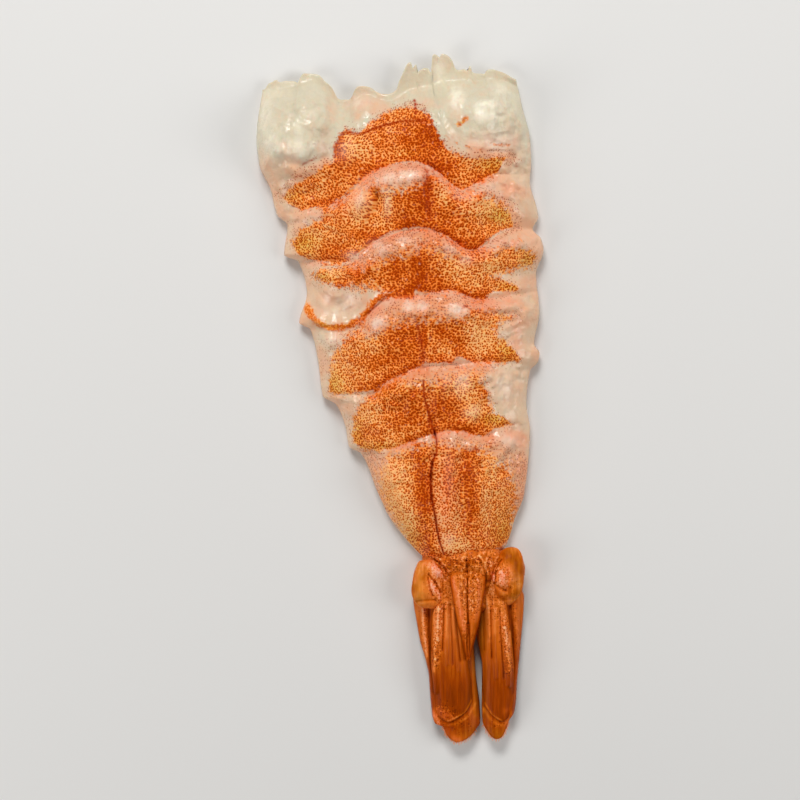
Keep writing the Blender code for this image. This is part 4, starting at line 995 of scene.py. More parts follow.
def pigment_group():
    """Cooked skin: dark dots, some run together, and light cells between them, partly painted glints."""
    tree = bpy.data.node_groups.new("pigment cells", "ShaderNodeTree")
    tree.interface.new_socket("Where", in_out="INPUT", socket_type="NodeSocketVector")
    for name in ("Amount", "Spacing"):
        tree.interface.new_socket(name, in_out="INPUT", socket_type="NodeSocketFloat")
    for name in ("Dots", "Light cells and glints"):
        tree.interface.new_socket(name, in_out="OUTPUT", socket_type="NodeSocketFloat")
    given = tree.nodes.new("NodeGroupInput")
    result = tree.nodes.new("NodeGroupOutput")
    where, amount = given.outputs["Where"], given.outputs["Amount"]
    scale = calculate(tree, "DIVIDE", 1 / MM, given.outputs["Spacing"])
    chains = add(tree, "TexNoise", {"Vector": where, "Scale": scale, "Detail": 1.0}).outputs[0]
    crowded = between(tree, CROWDED_FROM, 1.0, amount, 0.0, DOTS_CHAINED)
    chained = vary(tree, "MULTIPLY", crowded, chains, *CHAIN_EDGE, 0.0, 1.0)
    bends = add(tree, "TexNoise", {"Vector": where, "Scale": 1 / (DOT_BEND_SIZE * MM), "Detail": 1.0})
    centred = add(tree, "VectorMath", {0: bends.outputs["Color"], 1: (0.5, 0.5, 0.5)}, operation="SUBTRACT")
    bent = add(tree, "VectorMath", {0: centred.outputs[0], "Scale": DOT_BEND * MM}, operation="SCALE")
    moved = add(tree, "VectorMath", {0: where, 1: bent.outputs[0]}, operation="ADD")
    laid_out = {"Vector": moved.outputs[0], "Scale": scale, "Randomness": DOT_UNEVENNESS}
    cells = add(tree, "TexVoronoi", laid_out, voronoi_dimensions="2D")
    chance = add(tree, "SeparateColor", {0: cells.outputs["Color"]})
    radius = calculate(tree, "MULTIPLY_ADD", chance.outputs[1], DOT_RADIUS_VARIES, DOT_RADIUS)
    core = calculate(tree, "MULTIPLY", radius, DOT_CORE)
    disc = add(tree, "MapRange", {"Value": cells.outputs["Distance"], "From Min": radius, "From Max": core})
    present = calculate(tree, "LESS_THAN", chance.outputs[0], amount)
    single = calculate(tree, "MULTIPLY", disc.outputs["Result"], present)
    single = vary(tree, "MULTIPLY", single, amount, 0.0, 1.0, 0.5, 1.0)
    tree.links.new(calculate(tree, "MAXIMUM", single, chained), result.inputs["Dots"])
    # Light cells between the dots, partly painted glints.
    gaps = between(tree, *GAP_EDGE, cells.outputs["Distance"])
    tree.links.new(vary(tree, "MULTIPLY", gaps, chains, 0.35, 0.6, 0.45, 1.0), result.inputs["Light cells and glints"])
    return tree


def wet_group():
    """The uneven film of moisture on shrimp: where it is smoother, and the small relief under it."""
    tree = bpy.data.node_groups.new("wet film", "ShaderNodeTree")
    for name in ("Roughness", "Film", "Relief"):
        tree.interface.new_socket(name, in_out="OUTPUT", socket_type="NodeSocketFloat")
    result = tree.nodes.new("NodeGroupOutput")
    where = add(tree, "TexCoord").outputs["Object"]
    smears = grain(tree, where, SMEAR_SIZE, 3.0)
    tree.links.new(between(tree, 0.3, 0.75, smears, 0.3, 0.5), result.inputs["Roughness"])
    drops = grain(tree, where, DROP_SIZE, 2.0)
    tree.links.new(between(tree, 0.3, 0.7, drops, 0.7, 0.15), result.inputs["Film"])
    tree.links.new(grain(tree, where, SKIN_GRAIN_SIZE, 3.0, 0.6), result.inputs["Relief"])
    return tree


pigment_cells = pigment_group()
wet_film = wet_group()


def rolled_out(tree, where):
    """The place of a point with the flanks laid flat, so that dots on them aren't drawn out downwards."""
    place = add(tree, "SeparateXYZ", {0: where})
    flank = add(tree, "MapRange", {
        "Value": place.outputs["X"], "From Min": FLANKS[0] * MM, "From Max": FLANKS[1] * MM,
        "To Min": 1.0, "To Max": -1.0})
    below = calculate(tree, "SUBTRACT", place.outputs["Z"], FLANK_TOP * MM)
    across = calculate(tree, "MULTIPLY_ADD", below, flank.outputs["Result"], place.outputs["X"])
    return add(tree, "CombineXYZ", {"X": across, "Y": place.outputs["Y"]}).outputs[0]


def flesh_finish():
    """Wet flesh in white, cream and pink, with what is left of the orange skin and its dots."""
    # Painted highlights, glints and groove shadow are part of its colour.
    material = bpy.data.materials.new("cooked_flesh")
    material.use_nodes = True
    tree = material.node_tree
    surface = tree.nodes["Principled BSDF"]
    where = add(tree, "TexCoord").outputs["Object"]
    cloud = grain(tree, where, CLOUD_SIZE, 4.0)
    patches = grain(tree, where, PATCH_SIZE, 3.0)
    shades = grain(tree, where, SHADE_SIZE, 3.0)
    frayed = grain(tree, where, FRAYED_SIZE, 2.0)
    ragged = grain(tree, where, RAGGED_SIZE, 4.0, 0.65)
    fibres = add(tree, "Mapping", {"Vector": where, "Scale": STRAND_STRETCH, "Rotation": STRAND_SLANT})
    strands = grain(tree, fibres.outputs[0], STRAND_SIZE, 4.0)

    pink = vary(tree, "MULTIPLY", painted(tree, "pink_flesh"), cloud, 0.2, 0.7, 0.7, 1.15)
    pink = vary(tree, "ADD", pink, patches, 0.3, 0.7, -0.15, 0.22)
    bare = blend(tree, pink, CREAM_FLESH, PINK_FLESH)
    white = vary(tree, "MULTIPLY", painted(tree, "white_flesh"), strands, 0.2, 0.7, 0.75, 1.1)
    white = vary(tree, "ADD", white, patches, 0.35, 0.7, 0.3, -0.1)
    bare = blend(tree, white, bare, WHITE_FLESH)
    # Painted highlights, with a few pale thin-skinned places, broken up by the muscle strands.
    highlight_colour = blend(tree, painted(tree, "white_flesh"), PINK_HIGHLIGHT_AND_PALE, WHITE_HIGHLIGHT)
    highlighted = vary(tree, "MULTIPLY", painted(tree, "highlight_and_pale_spot"), strands, 0.3, 0.65, 0.4, 1.1)
    bare = blend(tree, highlighted, bare, highlight_colour)
    bare = blend(tree, between(tree, 0.3, 0.7, cloud, 0.0, CLOUDED_BY), bare, CLOUDED_SHADE, "MULTIPLY")

    wash = vary(tree, "MULTIPLY", painted(tree, "thin_orange"), frayed, 0.3, 0.7, 0.6, 1.2)
    bare = blend(tree, wash, bare, THIN_ORANGE)

    spots = {"Where": rolled_out(tree, where), "Amount": painted(tree, "dark_dots"), "Spacing": DOT_SPACING}
    cells = add(tree, "Group", spots, node_tree=pigment_cells)
    depth = vary(tree, "ADD", painted(tree, "deep_orange_and_shade"), ragged, 0.25, 0.75, -RAGGED_SHADE, RAGGED_SHADE)
    depth = vary(tree, "ADD", depth, shades, 0.3, 0.7, -SHADED_BY, SHADED_BY)
    darkness = calculate(tree, "MULTIPLY_ADD", cells.outputs["Dots"], DOT_DARKNESS, depth)
    # The light cells lighten it, partly as painted glints.
    darkness = calculate(tree, "MULTIPLY_ADD", cells.outputs["Light cells and glints"], -LIGHT_CELL_AND_GLINT_PALENESS, darkness)
    orange = toned(tree, darkness, SKIN_TONES)
    orange = blend(tree, painted(tree, "pink_flesh"), orange, ROSY_SHADE, "MULTIPLY")
    orange = blend(tree, painted(tree, "olive_tint"), orange, OLIVE_SHADE, "MULTIPLY")

    skin = vary(tree, "ADD", painted(tree, "orange_skin"), ragged, 0.2, 0.8, -RAGGED_BY, RAGGED_BY)
    skin = vary(tree, "ADD", skin, frayed, 0.3, 0.7, -FRAYED_BY, FRAYED_BY)
    skin = between(tree, *SKIN_EDGE, skin)
    colour = blend(tree, skin, bare, orange)
    stray = vary(tree, "MULTIPLY", cells.outputs["Dots"], skin, 0.0, 1.0, STRAY_DARKNESS, 0.0)
    colour = blend(tree, stray, colour, DOT_RED)
    # The painted highlights show over the skin as well.
    colour = blend(tree, calculate(tree, "MULTIPLY", highlighted, HIGHLIGHT_OVER_SKIN), colour, highlight_colour)
    # Red creases, and the painted shadow along the grooves.
    colour = blend(tree, painted(tree, "red_crease_and_shadow"), colour, CREASE_RED_AND_SHADOW)
    tree.links.new(colour, surface.inputs["Base Color"])

    wet = add(tree, "Group", node_tree=wet_film)
    tree.links.new(wet.outputs["Roughness"], surface.inputs["Roughness"])
    film = vary(tree, "MULTIPLY", wet.outputs["Film"], skin, 0.0, 1.0, 1.0, 0.12)
    film = vary(tree, "MULTIPLY", film, painted(tree, "red_crease_and_shadow"), 0.0, 0.5, 1.0, 0.0)
    tree.links.new(film, surface.inputs["Coat Weight"])
    relief = calculate(tree, "ADD", wet.outputs["Relief"], frayed)
    relief = calculate(tree, "MULTIPLY_ADD", strands, STRAND_RISE, relief)
    bump = add(tree, "Bump", {"Height": relief, "Strength": 0.6, "Distance": 0.15 * MM})
    tree.links.new(bump.outputs[0], surface.inputs["Normal"])
    surface.inputs["Coat Roughness"].default_value = 0.13
    surface.inputs["Specular IOR Level"].default_value = 0.04
    surface.inputs["Subsurface Weight"].default_value = 0.2
    surface.inputs["Subsurface Radius"].default_value = (1.0, 0.42, 0.22)
    surface.inputs["Subsurface Scale"].default_value = 0.9 * MM
    return material


flesh.data.materials.append(flesh_finish())
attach(flesh, "root")
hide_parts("flesh")

# The tail fan: on each side an outer blade of thin, glassy shell with a shorter inner blade lying on it.
# Cooked shell is orange where it is single and brown where two layers lie over each other. Each blade is two
# sheets bent over a dome that the pair shares, its rim pressed down on what is under it.
SHELL = 0.6
BLADE_GAP = 0.32
# The dome under a pair of blades, a little higher at the root. A bed is its crest as (y, x) and half width.
BED_HEIGHT = 1.0
BED_DOME = 1.6
BED_ROOT_LIFT = 0.2
BED_ROOT_FROM = -36.0
BED_ROOT_TO = -27.0
LEFT_BED = ([(-50.0, 8.1), (-42.0, 7.8), (-35.0, 6.9), (-28.0, 6.0), (-24.0, 6.4)], 4.4)
RIGHT_BED = ([(-50.0, 14.1), (-42.0, 14.3), (-35.0, 14.5), (-28.0, 14.9), (-24.0, 14.6)], 3.5)
BLADE_RIM = 0.9
OUTER_RIM = -0.46
INNER_RIM = 0.04
# The fine veins along a blade, which wander by so many radians, and the waver of the whole blade.
VEIN_SPACING = 0.46
VEIN_RISE = 0.012
VEIN_WANDER = 2.0
VEIN_WANDER_SIZE = 3.0
BLADE_WAVER = 0.05
BLADE_WAVER_SIZE = 0.7
BLADE_DRAWN_OUT = 0.3
TIP_FALL = 0.6
TIP_FALL_FROM = -37.0
TIP_THIN = 0.5
OUTER_ROOT_CORNERS = 0.2
BLADE_COLUMNS = 52
BLADE_ROWS = 140

# Each blade: its bed, its lift above the bed, the height of its rim, how far the corners of its root reach
# up, its left and right edges as (y, x), its ribs and furrows as (height, half width, line), how brown it is
# along y, and what is painted on it as (strength, half width, line). Its pale and pink lines along the ribs
# are painted highlights; the others are the shell's own paler, pinker places.
BLADES = {
    "tail_blade_outer_left": dict(
        bed=LEFT_BED, lift=0.0, rim=OUTER_RIM, root_corners=OUTER_ROOT_CORNERS,
        left=[
            (-26.8, 2.6), (-27.6, 2.0), (-28.4, 1.85), (-30.0, 2.0), (-31.7, 2.3), (-35.0, 2.9),
            (-37.5, 3.65), (-40.0, 4.17), (-42.1, 4.3), (-44.1, 4.48), (-45.8, 4.69), (-46.8, 5.1),
            (-47.15, 6.1), (-48.4, 6.75), (-49.1, 7.5), (-49.4, 8.0)],
        right=[
            (-26.8, 6.6), (-28.0, 7.0), (-30.3, 7.9), (-33.0, 10.3), (-36.0, 10.7), (-40.0, 11.0),
            (-44.0, 11.5), (-46.6, 11.6), (-47.6, 11.0), (-48.7, 10.0), (-49.2, 9.0), (-49.4, 8.3)],
        ribs=[
            (0.45, 0.5, [(3.0, -28.6), (3.4, -32.0), (4.0, -36.4), (4.6, -42.0), (4.9, -46.0)]),
            (-0.3, 0.25, [(4.3, -29.0), (4.3, -34.0), (4.5, -38.0), (5.2, -42.0)]),
            (0.14, 0.25, [(10.2, -36.0), (10.7, -41.0), (10.9, -45.0)]),
            (0.1, 0.2, [(6.0, -47.0), (7.0, -46.4), (8.0, -48.0)])],
        brown=[
            (-50.0, 0.5), (-48.4, 0.6), (-47.0, 0.75), (-44.0, 0.75), (-40.0, 0.55), (-34.0, 0.3),
            (-28.0, 0.15)],
        dark=[
            (0.7, 0.3, [(4.35, -29.0), (4.4, -38.0), (4.8, -42.0)]), (0.3, 1.5, [(7.2, -45.0), (6.6, -46.8)]),
            (0.25, 0.25, [(11.2, -40.0), (11.6, -45.8)]), (0.3, 0.2, [(10.1, -37.0), (10.3, -43.5)])],
        pale=[
            (0.3, 0.4, [(10.6, -38.0), (10.9, -45.5)]),
            (0.5, 0.2, [(10.9, -43.8), (9.8, -45.6), (8.2, -46.6), (6.8, -46.8)]),
            (0.9, 0.16, [(3.15, -29.0), (3.3, -33.0), (3.9, -37.0)]),
            (0.15, 0.6, [(7.2, -49.2), (8.2, -49.6), (10.4, -48.4)]),
            (0.7, 0.35, [(4.9, -45.6), (5.6, -46.9)])],
        pink=[
            (0.5, 0.35, [(3.3, -29.2), (3.5, -33.0), (3.9, -36.0)]), (1.2, 0.7, [(5.0, -45.2), (5.6, -46.9)]),
            (0.8, 0.7, [(6.6, -47.4), (7.4, -48.6), (8.8, -49.0)])],
        crinkled=[
            (0.25, 1.0, [(8.0, -46.8), (9.6, -46.4)]), (0.6, 0.5, [(3.4, -29.4), (3.7, -36.0)]),
            (0.4, 0.6, [(5.2, -45.6), (6.2, -47.2)])],
        yellow=[(0.6, 0.6, [(10.9, -38.0), (11.2, -45.4)]), (0.4, 0.8, [(9.2, -48.2), (10.6, -47.4)])],
    ),
    "tail_blade_outer_right": dict(
        bed=RIGHT_BED, lift=0.0, rim=OUTER_RIM, root_corners=OUTER_ROOT_CORNERS,
        left=[
            (-26.6, 13.2), (-28.0, 12.9), (-33.0, 11.9), (-38.0, 11.85), (-44.0, 11.8), (-46.4, 11.9),
            (-47.7, 12.5), (-48.6, 13.2), (-48.9, 13.7)],
        right=[
            (-26.6, 16.9), (-27.6, 17.6), (-28.6, 17.95), (-31.7, 17.8), (-34.8, 17.5), (-38.0, 17.2),
            (-41.0, 16.9), (-43.1, 16.8), (-45.2, 16.45), (-46.3, 15.75), (-47.8, 15.15), (-48.6, 14.7),
            (-48.9, 14.2)],
        ribs=[
            (0.42, 0.5, [(16.7, -28.6), (16.8, -33.0), (16.7, -38.0), (16.4, -42.0), (16.1, -45.4)]),
            (-0.3, 0.22, [(15.7, -29.0), (16.1, -33.0), (16.4, -38.0), (16.3, -41.0)])],
        brown=[(-49.0, 0.55), (-46.6, 0.7), (-44.0, 0.75), (-40.0, 0.62), (-34.0, 0.5), (-28.0, 0.2)],
        dark=[
            (0.7, 0.28, [(15.6, -29.0), (16.1, -33.0), (16.4, -38.0), (16.2, -42.0)]),
            (0.4, 0.25, [(12.0, -37.0), (12.1, -44.0)]), (0.3, 0.8, [(14.6, -45.0), (15.6, -44.2)])],
        pale=[
            (0.3, 0.3, [(12.0, -33.0), (12.0, -45.0)]),
            (0.5, 0.2, [(12.1, -44.6), (13.2, -46.3), (14.6, -46.9)]),
            (0.4, 0.4, [(15.9, -45.6), (15.4, -46.4)]),
            (0.1, 0.5, [(13.2, -48.4), (14.2, -48.8), (15.0, -47.9)])],
        pink=[
            (0.2, 0.45, [(16.3, -28.8), (16.8, -33.0), (16.8, -36.5)]),
            (0.5, 0.5, [(15.8, -45.2), (15.3, -46.8)])],
        crinkled=[(0.2, 0.9, [(13.6, -47.0), (14.6, -46.6)]), (0.4, 0.5, [(16.4, -29.0), (16.8, -36.0)])],
        yellow=[(0.6, 0.6, [(12.0, -33.0), (12.2, -45.6)]), (0.6, 0.9, [(13.2, -47.8), (14.4, -48.4)])],
    ),
    "tail_blade_inner_left": dict(
        bed=LEFT_BED, lift=SHELL + BLADE_GAP, rim=INNER_RIM, root_corners=0.0,
        left=[
            (-25.4, 5.8), (-28.0, 5.3), (-29.5, 4.9), (-31.0, 4.6), (-37.0, 4.35), (-41.0, 4.7), (-44.5, 5.0),
            (-45.6, 5.5), (-46.2, 6.4), (-46.4, 6.9)],
        right=[
            (-25.4, 8.6), (-29.0, 9.3), (-34.0, 9.6), (-38.0, 9.9), (-41.0, 10.3), (-43.2, 10.4),
            (-44.4, 9.9), (-45.6, 8.7), (-46.4, 7.2)],
        ribs=[
            (0.5, 0.34, [(5.5, -29.6), (5.4, -33.0), (5.1, -36.0), (4.9, -39.0), (5.0, -42.0)]),
            (-0.3, 0.14, [(6.35, -29.4), (6.2, -33.0), (6.1, -36.0)]),
            (0.2, 0.22, [(6.7, -29.0), (6.7, -33.0), (6.8, -38.0)]),
            (-0.22, 0.12, [(7.2, -29.4), (7.4, -33.0), (7.6, -38.0)]),
            (0.16, 0.2, [(7.6, -30.0), (7.9, -34.0), (8.4, -39.0)]),
            (-0.2, 0.12, [(8.0, -30.4), (8.3, -34.0), (8.7, -37.6)])],
        brown=[(-46.4, 1.0), (-42.0, 0.97), (-39.5, 0.75), (-37.0, 0.5), (-33.0, 0.12), (-26.0, 0.05)],
        dark=[
            (0.5, 0.12, [(6.35, -29.4), (6.2, -33.0), (6.1, -36.0)]),
            (0.4, 0.12, [(7.2, -29.4), (7.4, -33.0), (7.6, -38.0)]),
            (0.4, 0.12, [(8.0, -30.4), (8.3, -34.0), (8.7, -37.6)]),
            (0.4, 0.2, [(4.6, -29.0), (4.5, -36.0)])],
        pale=[
            (0.8, 0.2, [(5.5, -29.8), (5.4, -33.0), (5.1, -36.0), (4.9, -39.0)]),
            (0.35, 0.25, [(6.7, -29.0), (6.8, -34.0)]), (0.3, 0.25, [(7.7, -30.0), (7.9, -34.0)]),
            (0.9, 0.16, [(10.3, -43.3), (9.4, -44.9), (7.9, -45.8), (6.9, -46.2)])],
        pink=[(0.35, 0.5, [(5.5, -30.0), (5.1, -35.0)]), (1.0, 0.9, [(5.4, -44.9), (6.9, -45.7)])],
        crinkled=[
            (1.0, 0.6, [(5.6, -29.0), (5.5, -33.0), (5.0, -38.0)]), (0.6, 1.6, [(6.4, -27.0), (6.8, -29.4)]),
            (0.6, 1.0, [(5.8, -44.4), (7.6, -45.3)])],
        yellow=[(0.45, 0.5, [(9.9, -33.0), (10.2, -41.0), (9.9, -44.0)])],
    ),
    "tail_blade_inner_right": dict(
        bed=RIGHT_BED, lift=SHELL + BLADE_GAP, rim=INNER_RIM, root_corners=0.0,
        left=[
            (-25.2, 10.6), (-29.0, 10.8), (-33.0, 11.0), (-35.0, 11.2), (-36.5, 11.55), (-38.0, 11.8),
            (-42.0, 11.95), (-43.8, 12.15), (-45.0, 12.9), (-46.0, 14.0), (-46.3, 14.5)],
        right=[
            (-25.2, 13.8), (-28.0, 15.0), (-30.0, 15.5), (-32.0, 15.8), (-35.0, 16.2), (-39.0, 16.45),
            (-42.5, 16.35), (-44.6, 16.1), (-45.8, 15.6), (-46.3, 14.9)],
        ribs=[
            (0.5, 0.32, [(15.0, -32.4), (15.3, -35.0), (15.7, -38.6), (15.7, -41.0)]),
            (0.22, 0.2, [(13.4, -30.0), (13.5, -35.0), (13.8, -40.0)]),
            (0.3, 0.3, [(12.3, -28.2), (12.7, -30.0), (12.9, -34.0)]),
            (-0.25, 0.13, [(13.0, -29.8), (13.1, -34.0), (13.2, -37.0)]),
            (-0.25, 0.13, [(14.3, -30.0), (14.6, -35.0), (14.9, -40.0)]),
            (-0.2, 0.15, [(12.0, -30.0), (12.1, -36.0)])],
        brown=[(-46.3, 0.95), (-42.0, 0.9), (-39.5, 0.7), (-37.0, 0.5), (-33.0, 0.2), (-26.0, 0.05)],
        dark=[
            (0.5, 0.12, [(13.0, -29.8), (13.1, -34.0), (13.2, -37.0)]),
            (0.5, 0.12, [(14.3, -30.0), (14.6, -35.0), (14.9, -40.0)]),
            (0.4, 0.12, [(12.0, -29.0), (12.1, -36.0)]), (0.5, 0.25, [(15.4, -29.6), (15.9, -33.0)])],
        pale=[
            (0.8, 0.2, [(15.0, -32.4), (15.3, -35.0), (15.7, -38.6)]),
            (0.5, 0.25, [(12.4, -28.6), (12.7, -30.4), (12.9, -34.6)]),
            (0.9, 0.16, [(12.2, -43.7), (13.3, -45.4), (14.6, -46.1)]),
            (0.35, 0.3, [(13.5, -30.0), (13.6, -33.4)])],
        pink=[(0.4, 0.4, [(14.9, -31.0), (15.4, -36.0)]), (0.5, 0.5, [(15.0, -44.8), (15.8, -44.6)])],
        crinkled=[
            (1.0, 0.6, [(14.9, -31.4), (15.4, -36.0), (15.8, -39.0)]),
            (0.6, 1.8, [(13.0, -27.0), (13.6, -29.4)])],
        yellow=[(0.8, 0.7, [(11.2, -30.4), (11.6, -36.0)]), (0.4, 0.5, [(12.2, -38.0), (12.4, -43.6)])],
    ),
}


SHELL_COLOURS = ("dark", "pale", "pink", "crinkled", "yellow")


def bed_height(bed, x, y):
    """The dome that a pair of blades shares, a little higher at the root."""
    crest, half_width = bed
    dome = BED_DOME * (1 - ((x - through(crest, y)) / half_width) ** 2)
    return BED_HEIGHT + dome + BED_ROOT_LIFT * ease(BED_ROOT_FROM, BED_ROOT_TO, y)


def blade_sheet(blade, upper):
    """What places the corners of one sheet of a blade."""

    def place(across, along):
        root, tip = blade["left"][0][0], blade["left"][-1][0]
        y = root + (tip - root) * np.sin(along * math.pi / 2)
        left, right = through(blade["left"], y), through(blade["right"], y)
        x = left + (right - left) * across
        side = 2 * across - 1
        y = y + blade["root_corners"] * side * side * (1 - along) ** 3
        inwards = np.minimum.reduce([x - left, right - x, y - tip, root - y])
        body = rounded(np.maximum(inwards, 0), BLADE_RIM)
        bed, rim = bed_height(blade["bed"], x, y), blade["rim"]
        lift = blade["lift"] * (1 - TIP_FALL * ease(TIP_FALL_FROM, tip, y))
        thick = SHELL * (1 - TIP_THIN * ease(TIP_FALL_FROM, tip, y))
        if not upper:
            return x, y, bed + rim + (lift - thick - rim) * body
        crest, _ = blade["bed"]
        wander = VEIN_WANDER * uneven(x, y, VEIN_WANDER_SIZE, 5)
        veins = np.cos(2 * math.pi * (x - through(crest, y)) / VEIN_SPACING + wander)
        waver = BLADE_WAVER * uneven(x, y * BLADE_DRAWN_OUT, BLADE_WAVER_SIZE, 9)
        relief = add_lines(x, y, blade["ribs"]) + VEIN_RISE * veins + waver
        return x, y, bed + rim + (lift - rim + relief) * body

    return place


def paint_shell(piece, brown, dark=(), pale=(), pink=(), crinkled=(), yellow=()):
    """Works out how much of each colour the shell shows at each corner, from the lines drawn for it."""
    # Some of the pale and pink lines, those along ribs and ridges, are painted highlights.
    x, y, _ = points_of(piece)
    paint(piece, "dark_shell", through(brown, y) + add_lines(x, y, dark))
    for colour, lines in zip(SHELL_COLOURS[1:], (pale, pink, crinkled, yellow)):
        paint(piece, colour + "_shell", add_lines(x, y, lines))


# The colour of the shell from its painted glints and palest places to two dark layers, as (darkness, colour).
SHELL_TONES = [
    (0.0, (1.0, 0.56, 0.24)), (0.2, (1.0, 0.38, 0.12)), (0.4, (0.88, 0.23, 0.035)),
    (0.6, (0.62, 0.125, 0.005)), (0.8, (0.38, 0.055, 0.0002)), (1.0, (0.20, 0.026, 0.0001)),
]
# How dark the shell is, how much brown and dots darken it, and how much its paler places, painted
# highlights and painted glints lighten it.
SHELL_DARKNESS = 0.47
BROWN_DARKNESS = 0.42
PALE_DARKNESS = -0.38
PINK_DARKNESS = -0.25
GLINT_DARKNESS = -0.42
SHELL_DOT_DARKNESS = 0.34
ROSY_SHELL = (1.0, 0.80, 1.3)
YELLOW_SHELL = (0.86, 1.2, 0.8)
SHELL_DOT_SPACING = 0.34
STREAK_SIZE = 0.4
STREAK_STRETCH = (1.0, 0.07, 0.5)
MOTTLE_SIZE = 1.4
CRUMPLE_SIZE = 0.45
CRUMPLE_RISE = 2.5


def shell_finish():
    """Glassy cooked shell: streaks, pale ribs, and crinkled places with dots and painted glints."""
    material = bpy.data.materials.new("cooked_shell")
    material.use_nodes = True
    tree = material.node_tree
    surface = tree.nodes["Principled BSDF"]
    where = add(tree, "TexCoord").outputs["Object"]
    drawn_out = add(tree, "Mapping", {"Vector": where, "Scale": STREAK_STRETCH})
    streaks = grain(tree, drawn_out.outputs[0], STREAK_SIZE, 3.0, 0.6)
    mottle = grain(tree, where, MOTTLE_SIZE, 4.0)
    crinkled = painted(tree, "crinkled_shell")
    dark = vary(tree, "ADD", painted(tree, "dark_shell"), streaks, 0.3, 0.7, -0.2, 0.2)
    # Pale and pink places, partly painted highlights along ribs and ridges.
    pale = vary(tree, "MULTIPLY", painted(tree, "pale_shell"), mottle, 0.25, 0.7, 0.6, 1.2)
    pink = vary(tree, "MULTIPLY", painted(tree, "pink_shell"), mottle, 0.25, 0.7, 0.5, 1.1)
    spots = {"Where": where, "Amount": crinkled, "Spacing": SHELL_DOT_SPACING}
    cells = add(tree, "Group", spots, node_tree=pigment_cells)
    crumple = grain(tree, where, CRUMPLE_SIZE, 2.0, 0.6)
    # Painted glints where the shell is crinkled.
    glints = vary(tree, "MULTIPLY", crinkled, crumple, 0.5, 0.64, 0.0, 1.0)
    darkness = SHELL_DARKNESS
    for amount, weight in (
            (dark, BROWN_DARKNESS), (pale, PALE_DARKNESS), (pink, PINK_DARKNESS), (glints, GLINT_DARKNESS),
            (cells.outputs["Dots"], SHELL_DOT_DARKNESS)):
        darkness = calculate(tree, "MULTIPLY_ADD", amount, weight, darkness)
    colour = blend(tree, pink, toned(tree, darkness, SHELL_TONES), ROSY_SHELL, "MULTIPLY")
    colour = blend(tree, painted(tree, "yellow_shell"), colour, YELLOW_SHELL, "MULTIPLY")
    tree.links.new(colour, surface.inputs["Base Color"])
    wet = add(tree, "Group", node_tree=wet_film)
    tree.links.new(wet.outputs["Roughness"], surface.inputs["Roughness"])
    film = vary(tree, "MULTIPLY", wet.outputs["Film"], dark, 0.0, 0.6, 0.22, 0.02)
    tree.links.new(film, surface.inputs["Coat Weight"])
    crinkles = calculate(tree, "MULTIPLY", crumple, calculate(tree, "MULTIPLY", crinkled, CRUMPLE_RISE))
    relief = calculate(tree, "ADD", calculate(tree, "ADD", wet.outputs["Relief"], streaks), crinkles)
    bump = add(tree, "Bump", {"Height": relief, "Strength": 0.5, "Distance": 0.06 * MM})
    tree.links.new(bump.outputs[0], surface.inputs["Normal"])
    surface.inputs["Coat Roughness"].default_value = 0.16
    surface.inputs["Specular IOR Level"].default_value = 0.04
    surface.inputs["Subsurface Weight"].default_value = 0.1
    surface.inputs["Subsurface Radius"].default_value = (1.0, 0.35, 0.1)
    surface.inputs["Subsurface Scale"].default_value = 0.8 * MM
    return material


cooked_shell = shell_finish()
for node, blade in BLADES.items():
    top, underside = blade_sheet(blade, True), blade_sheet(blade, False)
    leaf = two_sheets(node.replace("tail", "fan"), BLADE_COLUMNS, BLADE_ROWS, top, underside)
    paint_shell(leaf, blade["brown"], *(blade[colour] for colour in SHELL_COLOURS))
    leaf.data.materials.append(cooked_shell)
    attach(leaf, "root")
    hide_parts(node)

# The fringe of fine hairs on the tip of each outer blade. Each hair is a thin cone that grows out of the rim,
# away from the middle of the tip, by chance a little to one side and up or down.
HAIR_LENGTH = (0.45, 0.8)
HAIR_RADIUS = 0.09
HAIR_TIP = 0.2
HAIR_SUNK = 0.25
HAIR_SPREAD = 0.25
HAIR_RISE = (-0.1, 0.15)
HAIR_SIDES = 5
HAIRS_A_MM = 4.5
# The hairs are coloured alike, by one line so wide that it covers them all.
ALL_HAIRS = [(8.0, -48.0), (14.0, -48.0)]
FRINGE_BROWN = [(-50.0, 0.2), (-46.0, 0.4)]
FRINGE_PALE = [(0.7, 50.0, ALL_HAIRS)]
FRINGE_PINK = [(0.4, 50.0, ALL_HAIRS)]
